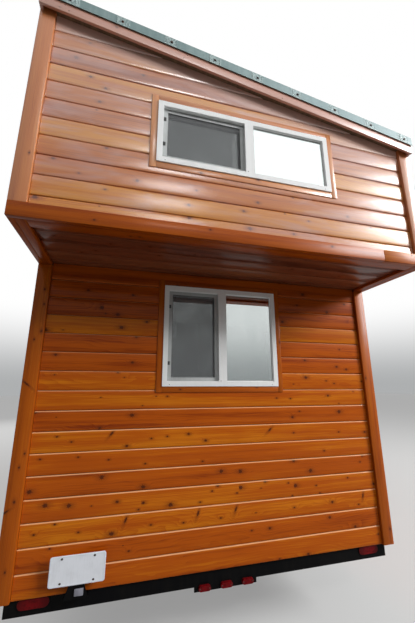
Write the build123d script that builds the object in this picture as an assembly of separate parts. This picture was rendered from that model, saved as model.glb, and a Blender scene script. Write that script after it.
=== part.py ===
from build123d import *
from math import cos, pi, radians, sin, sqrt, tan
import os

# A tiny house on a road trailer: cedar-clad walls, a sleeping loft that reaches out over the
# rear end, a lean-to roof of green ribbed sheet, white sliding windows and a tandem axle.
# Millimetres. The rear end, with the plate and the lamps, faces -Y, the tongue points to +Y,
# +Z is up, and the origin is on the ground under the middle of the whole vehicle.

# House body
house_width = 2667         # outside of the corner boards
house_length = 6096        # rear siding face to front siding face, lower storey
siding_bottom = 500        # height of the siding's lower edge above the ground
loft_reach = 644           # how far the loft stands out over the rear wall
soffit_height = 2008       # underside of the loft above the siding's lower edge
soffit_thickness = 19
wall_thickness = 110
siding_depth = 12          # how far the siding boards stand off the wall's own face
floor_thickness = 90
loft_floor_thickness = 107
loft_floor_length = 2440   # rear loft wall to the open edge above the room
doorway_depth = 300        # length of the cutters for windows and doorways

# Trim boards
trim_width = 89
trim_proud = 20            # trim stands this far off the siding face
fascia_height = 82
window_trim_width = 42
window_trim_proud = 5      # casings of the windows and the door stand off the siding face

# Roof
roof_pitch = 10            # degrees, high on the left
loft_height = 1129         # loft's underside to the lower edge of the rake board, mid house
rake_board_height = 90
rake_board_thickness = 19
board_joint = 0.5          # open joint where the eave boards meet the rake boards
rake_gap = 41              # shadow gap between the siding and the back of the rake board
deck_rise = 30             # roof deck underside above the lower edge of the rake board
deck_thickness = 91
sheet_thickness = 1.2
rib_height = 19
rib_pitch = 229
rib_foot = 62
rib_crown = 26
sheet_overlap = 12         # roof sheet past the roof boards at the eaves
flashing_thickness = 1.5
flashing_leg = 77          # height of the flashing on the rake
flashing_cover = 95        # width of the flashing on the roof
flashing_kick = 8.5        # the flashing's lower edge kicks out from the rake board by this much
flashing_kick_height = 10
end_rib = 45               # middle of the first rib from the edge of the sheet

# Windows: white sliding sashes, seen from outside the sliding half is on the left
window_width = 902
window_height = 749
window_head_gap = 101      # lower windows' head below the loft's underside
loft_window_width = 1207
loft_window_height = 445
loft_window_rise = 457     # sill above the loft's underside
frame_face = 35
frame_depth = 80
frame_proud = 12
mullion_width = 60
mullion_depth = 34
glass_thickness = 5
fixed_glass_depth = 4      # outer face of the fixed glass behind the siding face
sash_face = 34
sash_thickness = 26
sash_depth = 26            # outer face of the sliding sash behind the siding face
track_height = 7
track_thickness = 3
screen_face = 9
screen_thickness = 7
screen_depth = 12
screen_mesh = 1

# Door in the right wall
door_width = 813
door_height = 1981
door_thickness = 44
door_inset = 6             # outer face of the leaf behind the siding face
door_place = 4560          # middle of the door in front of the rear siding face
door_panel_inset = 110
door_panel_depth = 9
door_gap = 3
handle_height = 950        # above the lower edge of the leaf
handle_backset = 62
rose_radius = 32
rose_edge = 5
rose_thickness = 9
neck_radius = 12
neck_length = 30
knob_belly = 40
knob_radius = 27
knob_reach = 62

# Places of the other windows, in front of the rear siding face
left_rear_window_place = 1300
left_front_window_place = 4700
left_loft_window_place = 520
right_window_place = 1300

# Trailer frame
rail_spacing = 1830        # between the middles of the two rails
rail_height = 102
rail_flange = 50
steel = 6                  # thickness of the channels
cross_height = 76
cross_flange = 38
cross_count = 11
edge_leg = 50
frame_inset = 22           # rear bar and edge angles behind the siding face
rear_bar_inset = 33.5      # ends of the rear bar in from the siding faces of the long walls
rear_bar_height = 85
rear_bar_depth = 50
tongue_reach = 1250        # front siding face to the nose of the coupler
tongue_half_angle = 25
tongue_flange = 44
coupler_length = 230
coupler_cup = 42           # outer radius of the cup over the ball
ball_radius = 30
coupler_drop = 55          # coupler below the top of the tongue
coupler_rise = 20          # and above it
latch_width = 26
latch_height = 30
latch_place = 92           # latch behind the ball
lever_width = 21
lever_tilt = 18            # degrees
seat_back = 60             # jack's seat plate behind and in front of the jack
seat_reach = 90
seat_taper = 0.6
jack_setback = 430         # from the coupler's nose
jack_tube = 29             # radius of the outer tube
jack_clearance = 0.5
jack_tube_bottom = 140     # heights above the ground
jack_top = 950
jack_leg = 22
jack_foot = 160
jack_foot_thickness = 8
jack_seat = 8
jack_collar = 48
jack_head = 36
crank_radius = 7
crank_arm = 150
crank_grip = 90

# Lamps and plate
tail_lamp_length = 165
tail_lamp_height = 54
tail_lamp_inset = 150      # middle of a tail lamp from the end of the bar
tail_lamp_proud = 6
lamp_edge = 1              # steel left over the tail lamps
lamp_recess = 8
marker_lamp_length = 80
marker_lamp_height = 30
marker_lamp_spacing = 147
marker_lamp_place = 13     # middle lamp from the middle of the house
marker_strip_end = 26      # strip past the outer lamps
marker_lamp_drop = 91      # middle of the marker lamps below the siding's lower edge
marker_lamp_thickness = 20
marker_strip_height = 44
plate_width = 305
plate_height = 152
plate_thickness = 1.5
plate_inset = 377          # middle of the plate from the end of the rear bar
plate_bottom = 58          # above the siding's lower edge
plate_off = 40             # face of the plate off the siding
plate_corner = 13
bracket_foot = 134
bracket_head = 84
bracket_steel = 3
bracket_drop = 12          # bracket's arm below the siding's lower edge
bracket_rise = 114         # top of the bracket above the plate's lower edge
bracket_hold = 10          # arm behind the face of the bar

# Running gear
tyre_radius = 356
axle_height = 350          # a little under the radius, so that the tyre sits on a flat patch
tyre_width = 225
tyre_crown_drop = 9
tyre_groove_width = 8
tyre_groove_depth = 7
groove_share = 0.45        # outer grooves from the middle, as a share of half the tread
tyre_shoulder = 22         # edge of the tread in from the widest point
bulge_height = 62          # widest point above the rim
bulge_slope = 4
upper_wall = 110
bead_curl = 3
tyre_wall = 14
rim_radius = 190
rim_width = 152
rim_steel = 5
rim_seat_drop = 8
rim_lip = 6                # flange above the rim's radius
well_drop = 32             # drop centre below the rim's radius
well_start = 34            # drop centre from the rim's edge
well_end = 52
disc_face = 15             # wheel disc outside the middle of the rim
disc_bulge = 16
disc_crown = 22
disc_step = 80
disc_middle = 110
hand_holes = 8
hand_hole_radius = 15
hand_hole_circle = 130
wheel_track = 2310         # between the middles of the two tyres of an axle
axle_spacing = 864
axle_middle = 2750         # middle of the tandem in front of the rear siding face
beam_radius = 30
beam_drop = 102
arm_thickness = 22
arm_gap = 60               # drop arm from the tyre's inner wall
arm_eye = 34
pad_width = 60             # seat of the spring on the axle
pad_length = 120
hub_reach = 35             # end of the hub past the middle of the tyre
drum_setback = 95
spindle_radius = 22
drum_radius = 128
drum_width = 55
hub_radius = 41
spring_length = 660        # eye to eye
spring_width = 45
leaf_thickness = 8
leaf_count = 4
leaf_step = 0.22           # each leaf shorter than the one above by this share
spring_camber = 34
eye_radius = 17
eye_bore = 8.5
spring_pad = 8
bolt_radius = 8
hanger_plate = 6
hanger_clearance = 0.5
hanger_foot = 70
rocker_foot = 90
eye_drop = 50              # spring eyes below the rail
link_drop = 24             # upper link bolts below the rail
link_reach = 22            # upper link bolts from the eyes, along the trailer
link_radius = 14
rocker_drop = 28
rocker_radius = 20
bolt_end = 6
fender_length = 1830
fender_top_length = 1330
fender_height = 285        # top of the fender above the siding's lower edge
fender_drop = 70           # foot of the fender below the siding's lower edge
fender_steel = 3
fender_inner = 1000        # inner wall of the wheel well from the middle of the house
fender_lip = 14

# Derived places
pitch = radians(roof_pitch)
half_width = house_width / 2
side_face = half_width - trim_proud            # siding face of the long walls
side_wall = side_face - siding_depth           # outer face of the long walls' own slab
side_inner = side_wall - wall_thickness
rear_stack = loft_reach + rake_gap + rake_board_thickness + flashing_kick
rear_face = (rear_stack - house_length - tongue_reach) / 2
front_face = rear_face + house_length
loft_face = rear_face - loft_reach
rear_wall_face = rear_face + siding_depth
front_wall_face = front_face - siding_depth
loft_wall_face = loft_face + siding_depth
soffit_top = soffit_height + soffit_thickness
window_sill = soffit_height - window_head_gap - window_height
loft_window_sill = soffit_height + loft_window_rise
rake_height = soffit_height + loft_height
frame_edge = side_wall - frame_inset
rake_back_rear = loft_face - rake_gap
rake_back_front = front_face + rake_gap
tandem_y = rear_face + axle_middle
rail_bottom = siding_bottom - rail_height
spring_x = rail_spacing / 2
tyre_x = wheel_track / 2
rear_bar_half = side_face - rear_bar_inset
tail_lamp_x = rear_bar_half - tail_lamp_inset
plate_place = plate_inset - rear_bar_half
eye_height = rail_bottom - eye_drop
link_height = rail_bottom - link_drop
jack_y = front_face + tongue_reach - jack_setback


def up(height):
    # A height above the siding's lower edge as a height above the ground
    return siding_bottom + height


def roof_line(x, rise=0):
    # Height of the roof's slope over x, rise above the lower edge of the rake boards
    return up(rake_height + rise) - x * tan(pitch)


def block(x0, x1, y0, y1, z0, z1):
    middle = Pos((x0 + x1) / 2, (y0 + y1) / 2, (z0 + z1) / 2)
    return middle * Box(abs(x1 - x0), abs(y1 - y0), abs(z1 - z0))


def prism_x(points, x0, x1):
    # An outline in Y and Z, pulled from x0 to x1
    face = make_face(Plane.YZ * Polyline(*points, close=True))
    return Pos(x0, 0, 0) * extrude(face, amount=x1 - x0, dir=(1, 0, 0))


def prism_y(points, y0, y1):
    # An outline in X and Z, pulled from y0 to y1
    ends = zip(points, points[1:] + points[:1])
    face = make_face([Line((a[0], 0, a[1]), (b[0], 0, b[1])) for a, b in ends])
    return Pos(0, y0, 0) * extrude(face, amount=y1 - y0, dir=(0, 1, 0))


def prism_z(points, z0, z1):
    face = make_face(Polyline(*points, close=True))
    return Pos(0, 0, z0) * extrude(face, amount=z1 - z0, dir=(0, 0, 1))


def rod_x(radius, x0, x1, y, z):
    return Pos((x0 + x1) / 2, y, z) * Rot(0, 90, 0) * Cylinder(radius, abs(x1 - x0))


def rod_z(radius, z0, z1, x, y):
    return Pos(x, y, (z0 + z1) / 2) * Cylinder(radius, abs(z1 - z0))


def on_wall(wall, along, solid):
    # A wall's own frame: x to the right seen from outside, y into the wall from the siding face
    places = {
        "rear": (0, rear_face, 0),
        "loft": (0, loft_face, 0),
        "front": (0, front_face, 180),
        "right": (side_face, rear_face + along, 90),
        "left": (-side_face, rear_face + along, -90),
    }
    x, y, turn = places[wall]
    return Pos(x, y, 0) * Rot(0, 0, turn) * solid


# Windows as (wall, place along it, width, height, sill)
lower_size = (window_width, window_height, window_sill)
upper_size = (loft_window_width, loft_window_height, loft_window_sill)
windows = {
    "rear_window": [("rear", 0, *lower_size)],
    "loft_window": [("loft", 0, *upper_size)],
    "left_windows": [
        ("left", left_rear_window_place, *lower_size),
        ("left", left_front_window_place, *lower_size),
        ("left", left_loft_window_place, *upper_size),
    ],
    "right_window": [("right", right_window_place, *lower_size)],
    "front_windows": [("front", 0, *lower_size), ("front", 0, *upper_size)],
}


def window_hole(width, height, sill):
    return block(-width / 2, width / 2, -doorway_depth, doorway_depth, up(sill), up(sill + height))


def window_frame(width, height, sill):
    # Outer frame, meeting stile and the closed sliding sash behind it, with the screen's track
    low = up(sill)
    high = up(sill + height)
    side = width / 2
    inner = side - frame_face
    back = frame_depth - frame_proud
    ring = block(-side, side, -frame_proud, back, low, high)
    ring -= block(-inner, inner, -frame_proud - 1, back + 1, low + frame_face, high - frame_face)
    stile = block(-mullion_width / 2, mullion_width / 2, -frame_proud, mullion_depth - frame_proud,
                  low + frame_face, high - frame_face)
    sash_right = mullion_width / 2
    sash = block(-inner, sash_right, sash_depth, sash_depth + sash_thickness,
                 low + frame_face, high - frame_face)
    sash -= block(-inner + sash_face, sash_right - sash_face, sash_depth - 1,
                  sash_depth + sash_thickness + 1, low + frame_face + sash_face,
                  high - frame_face - sash_face)
    bridge = block(-mullion_width / 2, sash_right, mullion_depth - frame_proud - 1, sash_depth + 1,
                   low + frame_face, high - frame_face)
    track_back = screen_depth + screen_thickness + track_thickness
    sill_track = block(-inner, -mullion_width / 2, screen_depth + screen_thickness, track_back,
                       low + frame_face, low + frame_face + track_height)
    head_track = block(-inner, -mullion_width / 2, screen_depth + screen_thickness, track_back,
                       high - frame_face - track_height, high - frame_face)
    return ring + stile + sash + bridge + sill_track + head_track


def window_glass(width, height, sill):
    # The fixed pane in the outer plane and the sliding pane in its sash
    low = up(sill) + frame_face
    high = up(sill + height) - frame_face
    inner = width / 2 - frame_face
    fixed = block(mullion_width / 2, inner, fixed_glass_depth, fixed_glass_depth + glass_thickness,
                  low, high)
    middle = sash_depth + sash_thickness / 2
    sliding = block(-inner + sash_face, mullion_width / 2 - sash_face, middle - glass_thickness / 2,
                    middle + glass_thickness / 2, low + sash_face, high - sash_face)
    return [fixed, sliding]


def window_screen(width, height, sill):
    # A thin rim with the insect mesh as one sheet in it
    low = up(sill) + frame_face
    high = up(sill + height) - frame_face
    left = -width / 2 + frame_face
    right = -mullion_width / 2
    rim = block(left, right, screen_depth, screen_depth + screen_thickness, low, high)
    rim -= block(left + screen_face, right - screen_face, screen_depth - 1,
                 screen_depth + screen_thickness + 1, low + screen_face, high - screen_face)
    middle = screen_depth + screen_thickness / 2
    mesh = block(left + screen_face, right - screen_face, middle - screen_mesh / 2,
                 middle + screen_mesh / 2, low + screen_face, high - screen_face)
    return rim + mesh


def casing(width, height, bottom, has_sill=True):
    # Boards round a hole in the wall, seated on the wall's own face
    side = width / 2
    low = up(bottom)
    high = up(bottom + height)
    foot = low - window_trim_width if has_sill else low
    boards = block(-side - window_trim_width, side + window_trim_width, -window_trim_proud,
                   siding_depth, foot, high + window_trim_width)
    return boards - block(-side, side, -window_trim_proud - 1, siding_depth + 1,
                          low if has_sill else foot - 1, high)


def above_roof_deck():
    # Everything over the underside of the roof deck, to cut the walls to the slope
    reach = house_width
    high = up(rake_height + house_width)
    points = [(-reach, roof_line(-reach, deck_rise)), (reach, roof_line(reach, deck_rise)),
              (reach, high), (-reach, high)]
    return prism_y(points, loft_face - house_width, front_face + house_width)


def fender_outline(grow=0):
    # Sloping ends and a flat top, as a closed outline in Y and Z, its foot a little low to be cut
    foot = up(-fender_drop) - fender_steel
    top = up(fender_height)
    return [(tandem_y - fender_length / 2 - grow, foot), (tandem_y + fender_length / 2 + grow, foot),
            (tandem_y + fender_top_length / 2 + grow, top + grow),
            (tandem_y - fender_top_length / 2 - grow, top + grow)]


def long_wall(side):
    # side is 1 on the right and -1 on the left
    outline = [(rear_wall_face, up(0)), (front_wall_face, up(0)),
               (front_wall_face, up(rake_height + house_width / 2)),
               (loft_wall_face, up(rake_height + house_width / 2)),
               (loft_wall_face, up(soffit_top)), (rear_wall_face, up(soffit_top))]
    wall = prism_x(outline, min(side * side_inner, side * side_wall),
                   max(side * side_inner, side * side_wall))
    wall -= above_roof_deck()
    wall -= prism_x(fender_outline(), -house_width, house_width)
    return wall


def walls():
    rear = block(-side_inner, side_inner, rear_wall_face, rear_wall_face + wall_thickness,
                 up(0), up(soffit_top))
    loft = block(-side_inner, side_inner, loft_wall_face, loft_wall_face + wall_thickness,
                 up(soffit_top), up(rake_height + house_width / 2)) - above_roof_deck()
    front = block(-side_inner, side_inner, front_wall_face - wall_thickness, front_wall_face,
                  up(0), up(rake_height + house_width / 2)) - above_roof_deck()
    solids = {"rear": rear, "loft": loft, "front": front, "left": long_wall(-1), "right": long_wall(1)}
    for rows in windows.values():
        for wall, along, width, height, sill in rows:
            solids[wall] -= on_wall(wall, along, window_hole(width, height, sill))
    doorway = block(-door_width / 2 - door_gap, door_width / 2 + door_gap, -doorway_depth, doorway_depth,
                    up(floor_thickness), up(floor_thickness + door_height + door_gap))
    solids["right"] -= on_wall("right", door_place, doorway)
    names = {"rear": "rear_wall", "loft": "loft_rear_wall", "front": "front_wall",
             "left": "left_wall", "right": "right_wall"}
    return {names[wall]: [solid] for wall, solid in solids.items()}


def floors():
    floor = block(-side_inner, side_inner, rear_wall_face + wall_thickness,
                  front_wall_face - wall_thickness, up(0), up(floor_thickness))
    for side in (-1, 1):
        well = prism_x(fender_outline(), min(side * fender_inner, side * half_width),
                       max(side * fender_inner, side * half_width))
        floor -= well
    loft_back = loft_wall_face + wall_thickness
    loft_floor = block(-side_inner, side_inner, loft_back, loft_back + loft_floor_length,
                       up(soffit_top), up(soffit_top + loft_floor_thickness))
    soffit = block(-side_wall, side_wall, loft_wall_face, rear_wall_face,
                   up(soffit_height), up(soffit_top))
    return {"floor_deck": [floor], "loft_floor": [loft_floor], "overhang_soffit": [soffit]}


def corner_board(side, face, inward, low, high):
    # Two boards in an L round a corner: side is -1 or 1, inward is the way into the house in Y
    outer = side * half_width
    inner = side * (half_width - trim_width)
    end_board = block(inner, outer, face - inward * trim_proud, face + inward * siding_depth, low, high)
    side_board = block(side * side_wall, outer, face - inward * trim_proud,
                       face + inward * (trim_width - trim_proud), low, high)
    return end_board + side_board


def under_roof(board):
    # A corner board cut to the roof deck and to the boards along the eaves
    board -= above_roof_deck()
    for side in (-1, 1):
        board -= eave_board(side)
    return board


def corner_boards():
    high = up(rake_height + house_width / 2)
    fascia_top = up(soffit_height - trim_proud + fascia_height)
    lower = [corner_board(side, rear_face, 1, up(0), up(soffit_height - trim_proud)) for side in (-1, 1)]
    lower += [under_roof(corner_board(side, front_face, -1, up(0), high)) for side in (-1, 1)]
    loft = [under_roof(corner_board(side, loft_face, 1, fascia_top, high)) for side in (-1, 1)]
    return {"corner_boards": lower + loft}


def overhang_trim():
    # The board across the loft's lower edge, its returns, and the flat boards under its rim
    low = up(soffit_height - trim_proud)
    high = low + fascia_height
    fascia = block(-half_width, half_width, loft_face - trim_proud, loft_wall_face, low, high)
    under_front = block(-half_width, half_width, loft_face, loft_face + trim_width, low,
                        up(soffit_height))
    trim = fascia + under_front
    for side in (-1, 1):
        inner = side * (half_width - trim_width)
        trim += block(inner, side * half_width, loft_face - trim_proud, rear_face - trim_proud,
                      low, up(soffit_height))
        trim += block(side * side_wall, side * half_width, loft_face - trim_proud,
                      rear_face - trim_proud, low, high)
    return {"overhang_trim": [trim]}


def roof_band(x0, x1, low, high, y0, y1):
    # A piece that follows the roof's slope between two plumb sides
    return prism_y([(x0, roof_line(x0, low)), (x1, roof_line(x1, low)),
                    (x1, roof_line(x1, high)), (x0, roof_line(x0, high))], y0, y1)


def eave_board(side):
    # The board along an eave, between the two rake boards
    x0, x1 = sorted((side * (half_width - rake_board_thickness), side * half_width))
    return roof_band(x0, x1, 0, deck_rise + deck_thickness, rake_back_rear + board_joint,
                     rake_back_front - board_joint)


def rib_profile():
    # Upper line of the ribbed sheet in Y and height, rib after rib
    start = loft_face - rake_gap - rake_board_thickness
    end = front_face + rake_gap + rake_board_thickness
    spaces = round((end - start - 2 * end_rib) / rib_pitch)
    pitch_here = (end - start - 2 * end_rib) / spaces
    points = [(start, 0)]
    for number in range(spaces + 1):
        middle = start + end_rib + number * pitch_here
        points += [(middle - rib_foot / 2, 0), (middle - rib_crown / 2, rib_height),
                   (middle + rib_crown / 2, rib_height), (middle + rib_foot / 2, 0)]
    return points + [(end, 0)]


def lay_on_roof(profile, rise):
    # An outline in Y and height, pulled down the slope and cut plumb at both eaves
    edge = half_width + sheet_overlap
    strip = Pos(0, 0, roof_line(0, rise)) * Rot(0, roof_pitch, 0) * prism_x(profile, -2 * edge, 2 * edge)
    return strip & block(-edge, edge, -house_length, house_length, 0, 2 * up(rake_height))


def roof():
    board_edge = half_width - rake_board_thickness
    deck = roof_band(-board_edge, board_edge, deck_rise, deck_rise + deck_thickness,
                     rake_back_rear, rake_back_front)
    boards = [roof_band(-half_width, half_width, 0, rake_board_height, y, y + rake_board_thickness)
              for y in (rake_back_rear - rake_board_thickness, rake_back_front)]
    boards += [eave_board(side) for side in (-1, 1)]
    top_rise = deck_rise + deck_thickness
    upper = rib_profile()
    lower = [(y, z - sheet_thickness) for y, z in reversed(upper)]
    sheet = lay_on_roof(upper + lower, top_rise + sheet_thickness / cos(pitch))
    return {"roof_deck": [deck], "roof_edge_boards": boards, "roof_sheet": [sheet],
            "roof_flashings": flashings(top_rise)}


def flashings(top_rise):
    # Bent sheet over both rakes, lying on the end ribs, with a kicked-out lower edge
    pieces = []
    under = rib_height + sheet_thickness
    top = under + flashing_thickness
    foot = top - flashing_leg
    for way, board_face in ((-1, rake_back_rear - rake_board_thickness),
                            (1, rake_back_front + rake_board_thickness)):
        outer = board_face + way * flashing_thickness
        kick = board_face + way * flashing_kick
        cover_end = board_face - way * flashing_cover
        profile = [(kick, foot), (outer, foot + flashing_kick_height), (outer, top), (cover_end, top),
                   (cover_end, under), (board_face, under), (board_face, foot + flashing_kick_height),
                   (kick - way * flashing_thickness, foot)]
        pieces.append(lay_on_roof(profile, top_rise))
    return pieces


def door_knob():
    # A turned rose, neck and knob along +X
    edge = (rose_edge, 0, rose_radius - 2)
    root = (rose_thickness, 0, neck_radius)
    throat = (neck_length, 0, neck_radius - 2)
    crown = (knob_reach, 0, neck_radius)
    lines = [Line((0, 0, 0), (0, 0, rose_radius)), Line((0, 0, rose_radius), edge), Line(edge, root),
             Line(root, throat), ThreePointArc(throat, (knob_belly, 0, knob_radius), crown),
             Line(crown, (knob_reach, 0, 0)), Line((knob_reach, 0, 0), (0, 0, 0))]
    return revolve(make_face(lines), Axis.X, 360)


def build_door():
    low = up(floor_thickness)
    high = low + door_height
    side = door_width / 2
    leaf = block(-side, side, door_inset, door_inset + door_thickness, low, high)
    panel = block(-side + door_panel_inset, side - door_panel_inset, door_inset - 1,
                  door_inset + door_panel_depth, low + door_panel_inset, high - door_panel_inset)
    leaf -= panel
    knob = Pos(side - handle_backset, door_inset, low + handle_height) * Rot(0, 0, -90) * door_knob()
    return {"door_leaf": [on_wall("right", door_place, leaf)],
            "door_knob": [on_wall("right", door_place, knob)]}


def channel(points_low, points_high, height, flange, opens):
    # A C-section steel between two ends along one line: opens is the side of the open face
    x0, y0 = points_low
    x1, y1 = points_high
    length = sqrt((x1 - x0) ** 2 + (y1 - y0) ** 2)
    profile = [(0, 0), (opens * flange, 0), (opens * flange, steel), (opens * steel, steel),
               (opens * steel, height - steel), (opens * flange, height - steel),
               (opens * flange, height), (0, height)]
    ends = zip(profile, profile[1:] + profile[:1])
    face = make_face([Line((0, a[0], a[1]), (0, b[0], b[1])) for a, b in ends])
    bar = extrude(face, amount=length, dir=(1, 0, 0))
    turn = Vector(1, 0, 0).get_signed_angle(Vector(x1 - x0, y1 - y0, 0), Vector(0, 0, 1))
    return Pos(x0, y0, 0) * Rot(0, 0, turn) * bar


def link(start, end, radius, x0, x1):
    # A plate with round ends between two pins, each a pair of Y and Z
    length = sqrt((end[0] - start[0]) ** 2 + (end[1] - start[1]) ** 2)
    side_y = (end[1] - start[1]) / length * radius
    side_z = -(end[0] - start[0]) / length * radius
    outline = [(start[0] + side_y, start[1] + side_z), (end[0] + side_y, end[1] + side_z),
               (end[0] - side_y, end[1] - side_z), (start[0] - side_y, start[1] - side_z)]
    return prism_x(outline, x0, x1) + rod_x(radius, x0, x1, *start) + rod_x(radius, x0, x1, *end)


def hanger(y, z, foot, inner):
    # A base under the rail with two ears, inner from the spring's middle, and the bolt between them
    outer = inner + hanger_plate
    shape = block(spring_x - outer, spring_x + outer, y - foot / 2, y + foot / 2,
                  rail_bottom - hanger_plate, rail_bottom)
    for x0 in (spring_x - outer, spring_x + inner):
        ear = prism_x([(y - foot / 2, rail_bottom - hanger_plate), (y - link_radius, z),
                       (y + link_radius, z), (y + foot / 2, rail_bottom - hanger_plate)],
                      x0, x0 + hanger_plate)
        shape += ear + rod_x(link_radius, x0, x0 + hanger_plate, y, z)
    return shape + rod_x(bolt_radius, spring_x - outer - bolt_end, spring_x + outer + bolt_end, y, z)


def both_sides(solid):
    return [solid, mirror(solid, Plane.YZ)]


def trailer_frame():
    rear_y = rear_face + frame_inset + rear_bar_depth
    front_y = front_face
    top = siding_bottom
    well_low = tandem_y - fender_length / 2 - fender_steel
    well_high = tandem_y + fender_length / 2 + fender_steel
    parts = []
    parts.append(block(-frame_edge, frame_edge, front_y - steel, front_y, top - rail_height, top))
    for side in (-1, 1):
        web = side * (spring_x + rail_flange / 2)
        rail = channel((web, rear_y), (web, front_y - steel), rail_height, rail_flange, side)
        parts.append(Pos(0, 0, rail_bottom) * rail)
        for y0, y1 in ((rear_y, well_low), (well_high, front_y)):
            leg = side * (frame_edge - edge_leg)
            web = side * (frame_edge - steel)
            parts.append(block(leg, side * frame_edge, y0, y1, top - steel, top))
            parts.append(block(web, side * frame_edge, y0, y1, top - cross_height, top))
    step = (front_y - steel - rear_y - cross_flange) / (cross_count - 1)
    for number in range(cross_count):
        y = rear_y + number * step
        in_well = y + cross_flange > well_low and y < well_high
        reach = spring_x if in_well else frame_edge
        web = block(-reach, reach, y, y + steel, top - cross_height, top)
        upper = block(-reach, reach, y, y + cross_flange, top - steel, top)
        lower = block(-reach, reach, y, y + cross_flange, top - cross_height,
                      top - cross_height + steel)
        parts += [web, upper, lower]
    reach = axle_spacing / 2 + spring_length / 2
    inner = spring_width / 2 + hanger_clearance
    parts += both_sides(hanger(tandem_y + reach, eye_height, hanger_foot, inner))
    parts += both_sides(hanger(tandem_y, rail_bottom - rocker_drop, rocker_foot, inner))
    parts += both_sides(hanger(tandem_y - reach - link_reach, link_height, hanger_foot,
                               inner + hanger_plate + hanger_clearance))
    return {"trailer_frame": [parts[0].fuse(*parts[1:])]}


def leaf_spring(middle_y):
    # A pack of leaves, the longest with an eye at each end; the middle hangs below the eyes
    half = spring_length / 2
    radius = (half ** 2 + spring_camber ** 2) / (2 * spring_camber)
    centre_z = eye_height - spring_camber + radius

    def on_arc(r, a):
        return (0, middle_y + r * sin(a), centre_z - r * cos(a))

    pack = None
    for number in range(leaf_count):
        inner = radius + number * leaf_thickness
        outer = inner + leaf_thickness
        reach = half * (1 - leaf_step * number) if number else half - eye_radius + leaf_thickness / 2
        angle = reach / radius
        lines = [ThreePointArc(on_arc(inner, -angle), on_arc(inner, 0), on_arc(inner, angle)),
                 Line(on_arc(inner, angle), on_arc(outer, angle)),
                 ThreePointArc(on_arc(outer, angle), on_arc(outer, 0), on_arc(outer, -angle)),
                 Line(on_arc(outer, -angle), on_arc(inner, -angle))]
        leaf = extrude(make_face(lines), amount=spring_width, dir=(1, 0, 0))
        pack = leaf if pack is None else pack + leaf
    inner_x = spring_x - spring_width / 2
    pack = Pos(inner_x, 0, 0) * pack
    ends = (middle_y - half, middle_y + half)
    for y in ends:
        pack += rod_x(eye_radius, inner_x, inner_x + spring_width, y, eye_height)
    for y in ends:
        pack -= rod_x(eye_bore, inner_x - 1, inner_x + spring_width + 1, y, eye_height)
    return pack


def spring_links():
    # The rocker that shares the load between the two springs, and the links to the spring eyes
    inner = spring_width / 2 + hanger_clearance
    plates = [(spring_x - inner - hanger_plate, spring_x - inner),
              (spring_x + inner, spring_x + inner + hanger_plate)]
    bolt_ends = (spring_x - inner - hanger_plate - bolt_end, spring_x + inner + hanger_plate + bolt_end)
    pivot = (tandem_y, rail_bottom - rocker_drop)
    half_gap = (axle_spacing - spring_length) / 2
    rocker = rod_x(rocker_radius, spring_x - spring_width / 2, spring_x + spring_width / 2, *pivot)
    for way in (-1, 1):
        end = (tandem_y + way * (half_gap - link_reach), link_height)
        eye = (tandem_y + way * half_gap, eye_height)
        rocker += link(pivot, end, link_radius, spring_x - spring_width / 2, spring_x + spring_width / 2)
        for x0, x1 in plates:
            rocker += link(end, eye, link_radius, x0, x1)
        rocker += rod_x(bolt_radius, *bolt_ends, *end) + rod_x(bolt_radius, *bolt_ends, *eye)
    rocker -= rod_x(eye_bore, spring_x - spring_width, spring_x + spring_width, *pivot)
    eye = (tandem_y - axle_spacing / 2 - spring_length / 2, eye_height)
    end = (eye[0] - link_reach, link_height)
    rear = rod_x(bolt_radius, *bolt_ends, *eye)
    for x0, x1 in plates:
        rear += link(end, eye, link_radius, x0, x1)
    rear -= rod_x(eye_bore, spring_x - spring_width, spring_x + spring_width, *end)
    return both_sides(rocker) + both_sides(rear)


def running_gear():
    springs = []
    axles = []
    tyres = []
    rims = []
    beam_z = axle_height - beam_drop
    pack_low = eye_height - spring_camber - leaf_count * leaf_thickness
    for way in (-1, 1):
        y = tandem_y + way * axle_spacing / 2
        springs += both_sides(leaf_spring(y))
        arm_inner = tyre_x - tyre_width / 2 - arm_thickness - arm_gap
        axle = rod_x(beam_radius, -arm_inner, arm_inner, y, beam_z)
        for side in (-1, 1):
            x0, x1 = sorted((side * arm_inner, side * (arm_inner + arm_thickness)))
            arm = block(x0, x1, y - beam_radius, y + beam_radius, beam_z, axle_height)
            arm += rod_x(arm_eye, x0, x1, y, beam_z) + rod_x(arm_eye, x0, x1, y, axle_height)
            pad = block(side * (spring_x - pad_width / 2), side * (spring_x + pad_width / 2),
                        y - pad_length / 2, y + pad_length / 2, beam_z, pack_low)
            hub_end = tyre_x + hub_reach
            spindle = rod_x(spindle_radius, side * arm_inner, side * hub_end, y, axle_height)
            drum_inner = tyre_x - drum_setback
            drum = rod_x(drum_radius, side * drum_inner, side * (drum_inner + drum_width), y, axle_height)
            hub = rod_x(hub_radius, side * drum_inner, side * hub_end, y, axle_height)
            axle += arm + pad + spindle + drum + hub
        axles.append(axle)
        for side in (-1, 1):
            place = Pos(side * tyre_x, y, axle_height) * Rot(0, 0, 0 if side == 1 else 180)
            tyres.append(place * tyre())
            rims.append(place * rim())
    patch = block(-house_width, house_width, rear_face, front_face, -tyre_radius, 0)
    tyres = [solid - patch for solid in tyres]
    return {"leaf_springs": springs, "spring_links": spring_links(), "axles": axles,
            "tyres": tyres, "wheel_rims": rims}


def spin_x(points):
    # A closed outline in X and radius, turned about the X axis
    face = make_face(Plane.XZ * Polyline(*points, close=True))
    return revolve(face, Axis.X, 360)


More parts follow.
